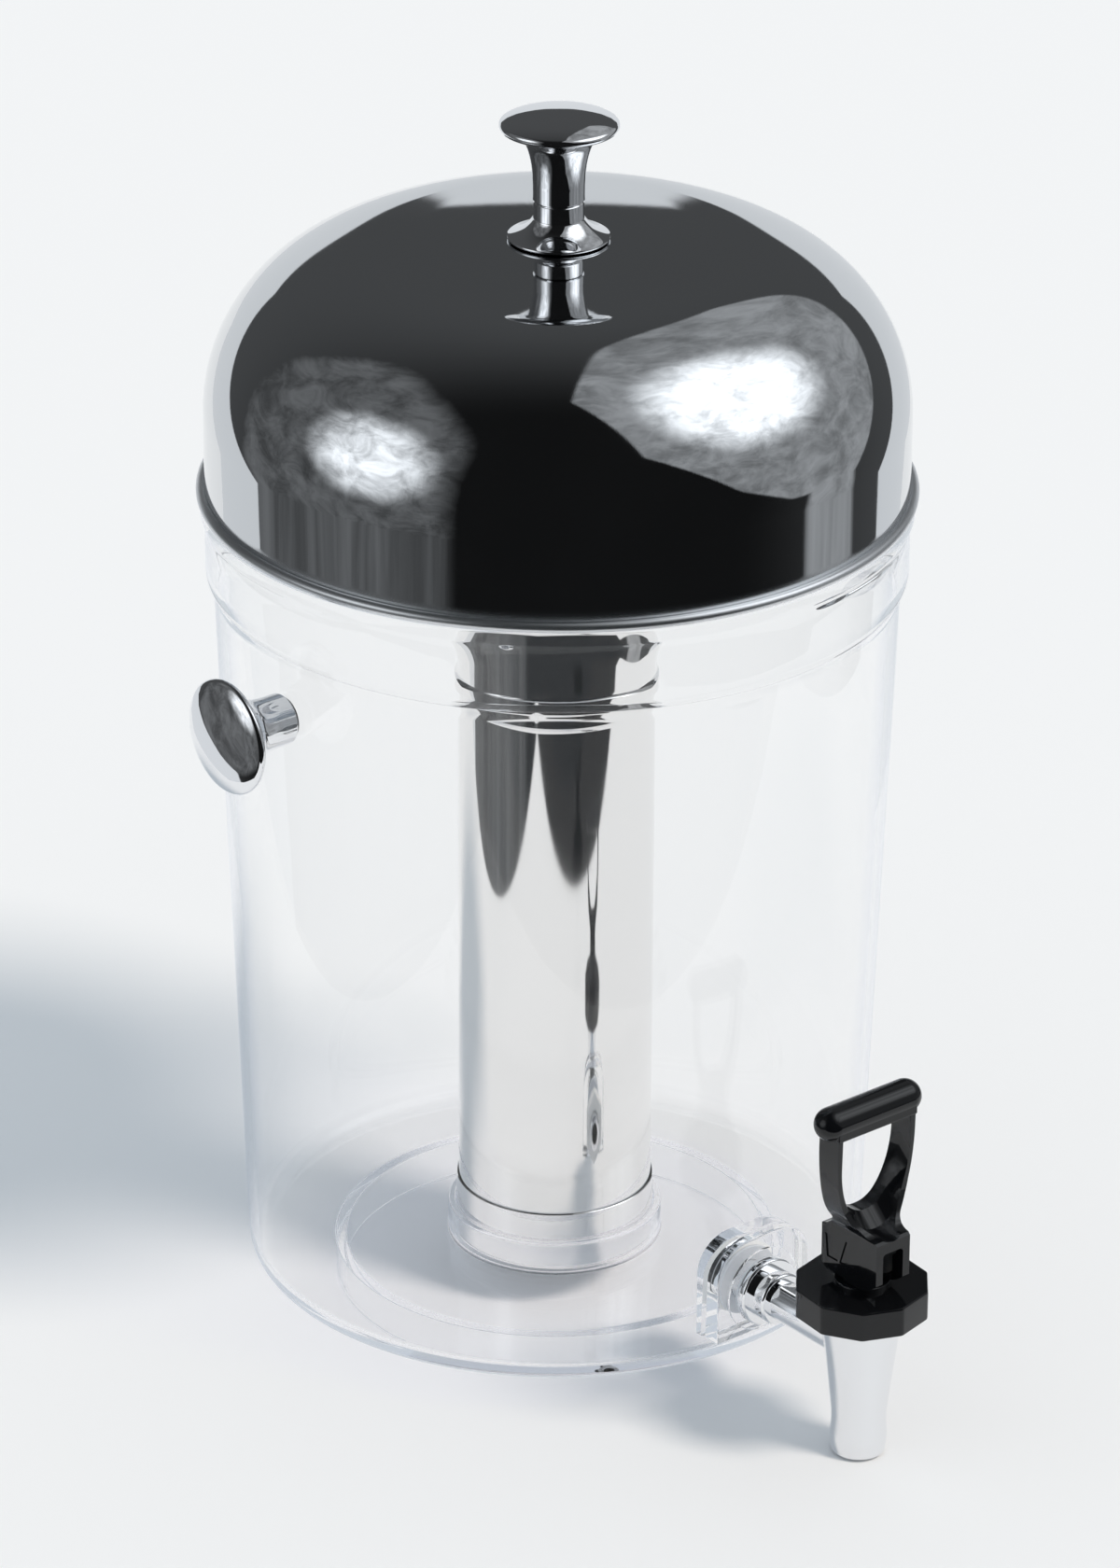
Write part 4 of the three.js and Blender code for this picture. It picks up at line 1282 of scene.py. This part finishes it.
    def build(self) -> None:
        """Makes the lever."""
        side = self.top_half + OVERRUN
        near = TAP_REACH - self.block_back - OVERRUN
        depth = self.cam()[-1][0] + self.block_back + 2 * OVERRUN
        slot_half, slot_top = self.slot
        slot = [(slot_half, self.foot - OVERRUN), *rounded((slot_half, slot_top), self.slot_corner, 0, 90, 4)]
        pin = Spindle(Vector((0, TAP_Y, self.pin)), RIGHT, UP)
        pin_radius, pin_half = self.pin_hole
        piece = slab("lever_stirrup", sides_outline(self.side(), -side), RIGHT * 2 * side)
        work(piece, Pull.SHARE, slab("front", front_outline(self.front(), near), TO_TAP * depth))
        work(piece, Pull.CUT, slab("opening", front_outline(self.opening(), near),
                                   *[TO_TAP * run + UP * fall for run, fall in self.saddle]),
             slab("slot", front_outline(slot, TAP_REACH - self.slot_back), TO_TAP * self.slot_run),
             *self.pockets(), turn("pin_hole", disc(pin_radius, -pin_half, pin_half), pin, steps=24))
        round_edges(clean(piece, self.merge), self.edge, angle=28)
        work(piece, Pull.JOIN, self.grip())
        fit(polish(clean(piece), 40), Stock.BLACK_ABS, "lever_body", "lever")
        keep(Stock.PLAIN_STEEL, "lever_pin")


# The studio

def direction(side: float, height: float) -> Vector:
    """The direction at two angles.

    Args:
        side: The angle from the tap's side towards +X, in degrees.
        height: The angle above the floor, in degrees.

    Returns:
        The direction, one unit long.
    """
    turned, raised = math.radians(side), math.radians(height)
    level = math.cos(raised)
    return Vector((math.sin(turned) * level, -math.cos(turned) * level, math.sin(raised)))


@dataclass(frozen=True)
class Umbrella:
    """A lit surface that mirrors show: its corners and its brightest spot as side and height angles."""

    corners: tuple[Spot, ...]
    core: Spot
    plain: float
    bright: float
    spread: float
    crumple: float
    blur: float

    def limits(self) -> list[tuple[Vector, Spot, Spot]]:
        """What shapes its light.

        Returns:
            Directions, how far a ray points along each, and the light at both ends.
        """
        corners = [direction(*corner) for corner in self.corners]
        middle = sum(corners, Vector())
        pairs = zip(corners, (*corners[1:], corners[0]))
        edges = [first.cross(second).normalized() for first, second in pairs]
        inward = [edge if edge.dot(middle) > 0 else -edge for edge in edges]
        core = (direction(*self.core), (math.cos(math.radians(self.spread)), 1.0), (self.plain, self.bright))
        return [*[(edge, (-self.blur, self.blur), (0.0, 1.0)) for edge in inward], core]


@dataclass(frozen=True)
class MirrorRoom:
    """What polished metal mirrors: a dark room, the paper's far sweep and the umbrellas."""

    tint: tuple[float, float, float, float] = (0.93, 0.965, 1.0, 1.0)
    sweep_top: float = 0.275
    sweep_sides: Spot = (0.77, 0.916)
    sweep_slants: Spot = (0.8, 1.32)
    sweep_blur: Spot = (0.01, 0.02)
    sweep_start: float = 0.05
    sweep: float = 0.78
    room: Spot = (0.008, 0.075)
    room_span: Spot = (-0.5, 0.85)
    crumple_scale: float = 5.0
    crumple_span: Spot = (0.3, 0.7)
    umbrellas: tuple[Umbrella, ...] = (
        Umbrella(((-50, 79), (128, 66), (134, 40), (69, -16), (40, -15), (20, -2), (-9, 31)), core=(45, 45),
                 plain=0.36, bright=2.2, spread=33, crumple=0.5, blur=0.012),
        Umbrella(((-158, -30), (-160, 38), (-150, 60), (-72, 40), (-76, -32)), core=(-103.5, 15),
                 plain=0.15, bright=1.5, spread=27, crumple=0.6, blur=0.1),
        Umbrella(((47, -10), (67.5, -10), (74, -32), (49, -32)), core=(60, -16),
                 plain=0.36, bright=0.36, spread=20, crumple=0.5, blur=0.03),
    )

    def build(self, add: Add) -> Node:
        """Adds the room's nodes.

        Args:
            add: Adds a node to the world.

        Returns:
            The background node.
        """
        smooth = {"interpolation_type": "SMOOTHSTEP"}
        way = add("TexCoord").outputs["Generated"]
        aims = (-direction(VIEW_SIDE, 0), direction(VIEW_SIDE + 90, 0), UP)
        ahead, across, rise = [add("VectorMath", operation="DOT_PRODUCT", in_0=way, in_1=aim).outputs["Value"]
                               for aim in aims]
        across, rise = [add("Math", operation="DIVIDE", in_0=part, in_1=ahead) for part in (across, rise)]
        # The paper's far sweep is a bright field behind the dispenser, with a level top and slanting sides.
        top_blur, side_blur = self.sweep_blur
        spans = [(ahead, 0.0, self.sweep_start), (rise, self.sweep_top + top_blur, self.sweep_top - top_blur)]
        for side, edge, slant in zip((1, -1), self.sweep_sides, self.sweep_slants):
            aside = add("Math", operation="MULTIPLY", in_0=across, in_1=side)
            slanted = add("Math", operation="MULTIPLY_ADD", in_0=rise, in_1=slant, in_2=aside)
            spans.append((slanted, edge + side_blur, edge - side_blur))
        sweep = 1.0
        for value, start, end in spans:
            part = add("MapRange", **smooth, Value=value, From_Min=start, From_Max=end)
            sweep = add("Math", operation="MULTIPLY", in_0=sweep, in_1=part)
        sweep = add("MapRange", **smooth, Value=sweep, To_Max=self.sweep)
        light = add("MapRange", **smooth, Value=ahead, From_Min=self.room_span[0], From_Max=self.room_span[1],
                    To_Min=self.room[0], To_Max=self.room[1])
        light = add("Math", operation="MAXIMUM", in_0=sweep, in_1=light)
        crumple = add("TexNoise", Scale=self.crumple_scale, Detail=12.0, Roughness=0.72, Distortion=0.6,
                      Vector=way)
        for umbrella in self.umbrellas:
            shine = add("MapRange", **smooth, Value=crumple, From_Min=self.crumple_span[0],
                        From_Max=self.crumple_span[1], To_Min=1 - umbrella.crumple,
                        To_Max=1 + umbrella.crumple / 3)
            for aim, span, levels in umbrella.limits():
                along = add("VectorMath", operation="DOT_PRODUCT", in_0=way, in_1=aim).outputs["Value"]
                part = add("MapRange", **smooth, Value=along, From_Min=span[0], From_Max=span[1],
                           To_Min=levels[0], To_Max=levels[1])
                shine = add("Math", operation="MULTIPLY", in_0=shine, in_1=part)
            light = add("Math", operation="MAXIMUM", in_0=light, in_1=shine)
        return add("Background", Color=self.tint, Strength=light)


@dataclass(frozen=True)
class Studio:
    """A sheet of pale paper, a soft key lamp and even light, with the room that mirrors show."""

    paper_size: float = 7000.0
    # The paper's straight cuts: the side that each faces in degrees and its distance from the container.
    edges: tuple[Spot, ...] = ((-18.0, 370.0), (-108.0, 350.0), (60.0, 570.0))
    page: str = "#F3F3F3"
    even: float = 0.665
    even_tint: tuple[float, float, float, float] = (0.85, 0.93, 1.0, 1.0)
    key_side: float = 22.0
    key_height: float = 50.0
    key_power: float = 1.80
    key_tint: Trio = (1.0, 0.90, 0.80)
    key_width: float = 14.0

    def floor(self) -> None:
        """The sheet of paper, cut straight along its front and its sides, where the dark room begins."""
        middle = Vector((0, CONTAINER_Y, 0))
        bpy.ops.object.select_all(action="DESELECT")
        bpy.ops.mesh.primitive_plane_add(size=self.paper_size * MM, location=middle * MM)
        piece = bpy.context.active_object
        piece.name = piece.data.name = "floor"
        bpy.ops.object.transform_apply(location=True, rotation=True, scale=True)
        bpy.ops.object.mode_set(mode="EDIT")
        for side, distance in self.edges:
            out = direction(side, 0)
            bpy.ops.mesh.select_all(action="SELECT")
            bpy.ops.mesh.bisect(plane_co=(middle + out * distance) * MM, plane_no=out, clear_outer=True)
        bpy.ops.object.mode_set(mode="OBJECT")
        piece.data.materials.append(Paper().make())

    def key(self) -> None:
        """The key lamp, from the right of the camera, whose shadow falls to the left."""
        bpy.ops.object.light_add(type="SUN")
        lamp = bpy.context.active_object
        lamp.name = "key"
        lamp.rotation_euler = direction(self.key_side, self.key_height).to_track_quat("Z", "Y").to_euler()
        lamp.data.energy = self.key_power
        lamp.data.color = self.key_tint
        lamp.data.angle = math.radians(self.key_width)
        lamp.visible_glossy = False
        # The wall's shadow colour already lets the key through.
        lamp.visible_transmission = False

    def world(self) -> None:
        """Even light on matt surfaces, a pale page behind, and the room for what mirrors show."""
        world = bpy.data.worlds.new("studio")
        bpy.context.scene.world = world
        world.use_nodes = True
        world.node_tree.nodes.clear()
        add = partial(add_node, world.node_tree)
        path = add("LightPath").outputs
        signs: dict[str, Node | NodeSocket] = {
            "seen": path["Is Camera Ray"], "glossy": path["Is Glossy Ray"],
            "bent": path["Is Transmission Ray"]}
        counts = (
            ("mirrored", "Glossy Depth", 0.5), ("often_mirrored", "Glossy Depth", ClearAcrylic.turns),
            ("in_wall", "Transmission Depth", 0.5), ("past_wall", "Transmission Depth", 3.5),
            ("deep", "Ray Depth", ClearAcrylic.depth), ("scattered", "Diffuse Depth", 0.5),
        )
        for sign, count, limit in counts:
            signs[sign] = add("Math", operation="GREATER_THAN", in_0=path[count], in_1=limit)
        # A clear bend counts as glossy too, so a mirror is glossy without being clear. A ray that leaves the
        # clear wall after the steel's mirror still shows the room, but not one that only turned inside the
        # wall. Any other ray that has come through the wall sees the page.
        rules = (
            ("mirror", "glossy", "GREATER_THAN", "bent"),
            ("steel", "mirrored", "MULTIPLY", "past_wall"), ("steel", "bent", "MULTIPLY", "steel"),
            ("room", "mirror", "MAXIMUM", "steel"),
            ("lost", "in_wall", "MULTIPLY", "often_mirrored"), ("lost", "lost", "MAXIMUM", "deep"),
            ("room", "room", "GREATER_THAN", "lost"),
            ("clear", "bent", "GREATER_THAN", "mirrored"), ("seen", "seen", "MAXIMUM", "clear"),
        )
        for sign, first, operation, second in rules:
            signs[sign] = add("Math", operation=operation, in_0=signs[first], in_1=signs[second])
        even = add("Background", Color=self.even_tint, Strength=self.even)
        light = even
        page = add("Background", Color=linear(self.page))
        for sign, other in (("seen", page), ("room", MirrorRoom().build(add)), ("scattered", even)):
            light = add("MixShader", in_0=signs[sign], in_1=light, in_2=other)
        add("OutputWorld", Surface=light)

    def build(self) -> None:
        """Sets up floor, lamp and surroundings."""
        self.floor()
        self.key()
        self.world()
        bpy.context.scene.view_settings.view_transform = "Standard"


@dataclass(frozen=True)
class Camera:
    """The photograph's camera: the height of its aim and its roll in degrees, distances in mm."""

    height: float = 25.222
    roll: float = 0.259
    distance: float = 2420.0
    aim_height: float = 186.92
    aim_shift: float = 1.232
    lens: float = 164.16
    film: float = 36.0
    reach_m: float = 20.0

    def build(self) -> None:
        """Adds the camera and makes it the scene's."""
        back, across = direction(VIEW_SIDE, self.height), direction(VIEW_SIDE + 90, 0)
        upward = back.cross(across)
        aim = Vector((0, CONTAINER_Y, self.aim_height)) + across * self.aim_shift
        bpy.ops.object.camera_add(location=(aim + back * self.distance) * MM)
        camera = bpy.context.active_object
        roll = math.radians(self.roll)
        rolled = across * math.cos(roll) + upward * math.sin(roll)
        raised = upward * math.cos(roll) - across * math.sin(roll)
        camera.rotation_euler = Matrix((rolled, raised, back)).transposed().to_euler()
        camera.data.lens = self.lens
        camera.data.sensor_fit = "VERTICAL"
        camera.data.sensor_height = self.film
        camera.data.clip_end = self.reach_m
        bpy.context.scene.camera = camera


def main() -> None:
    """Builds the dispenser and its studio."""
    logging.basicConfig(level=logging.INFO, format="%(message)s")
    for part in (Camera(), Studio(), Container(), Lid(), LidKnob(), IceTube()):
        part.build()
    for label, side in (("left", -1), ("right", 1)):
        SideKnob().build(label, side)
    for part in (Tap(), BonnetNut(), Lever()):
        part.build()


if __name__ == "__main__":
    main()
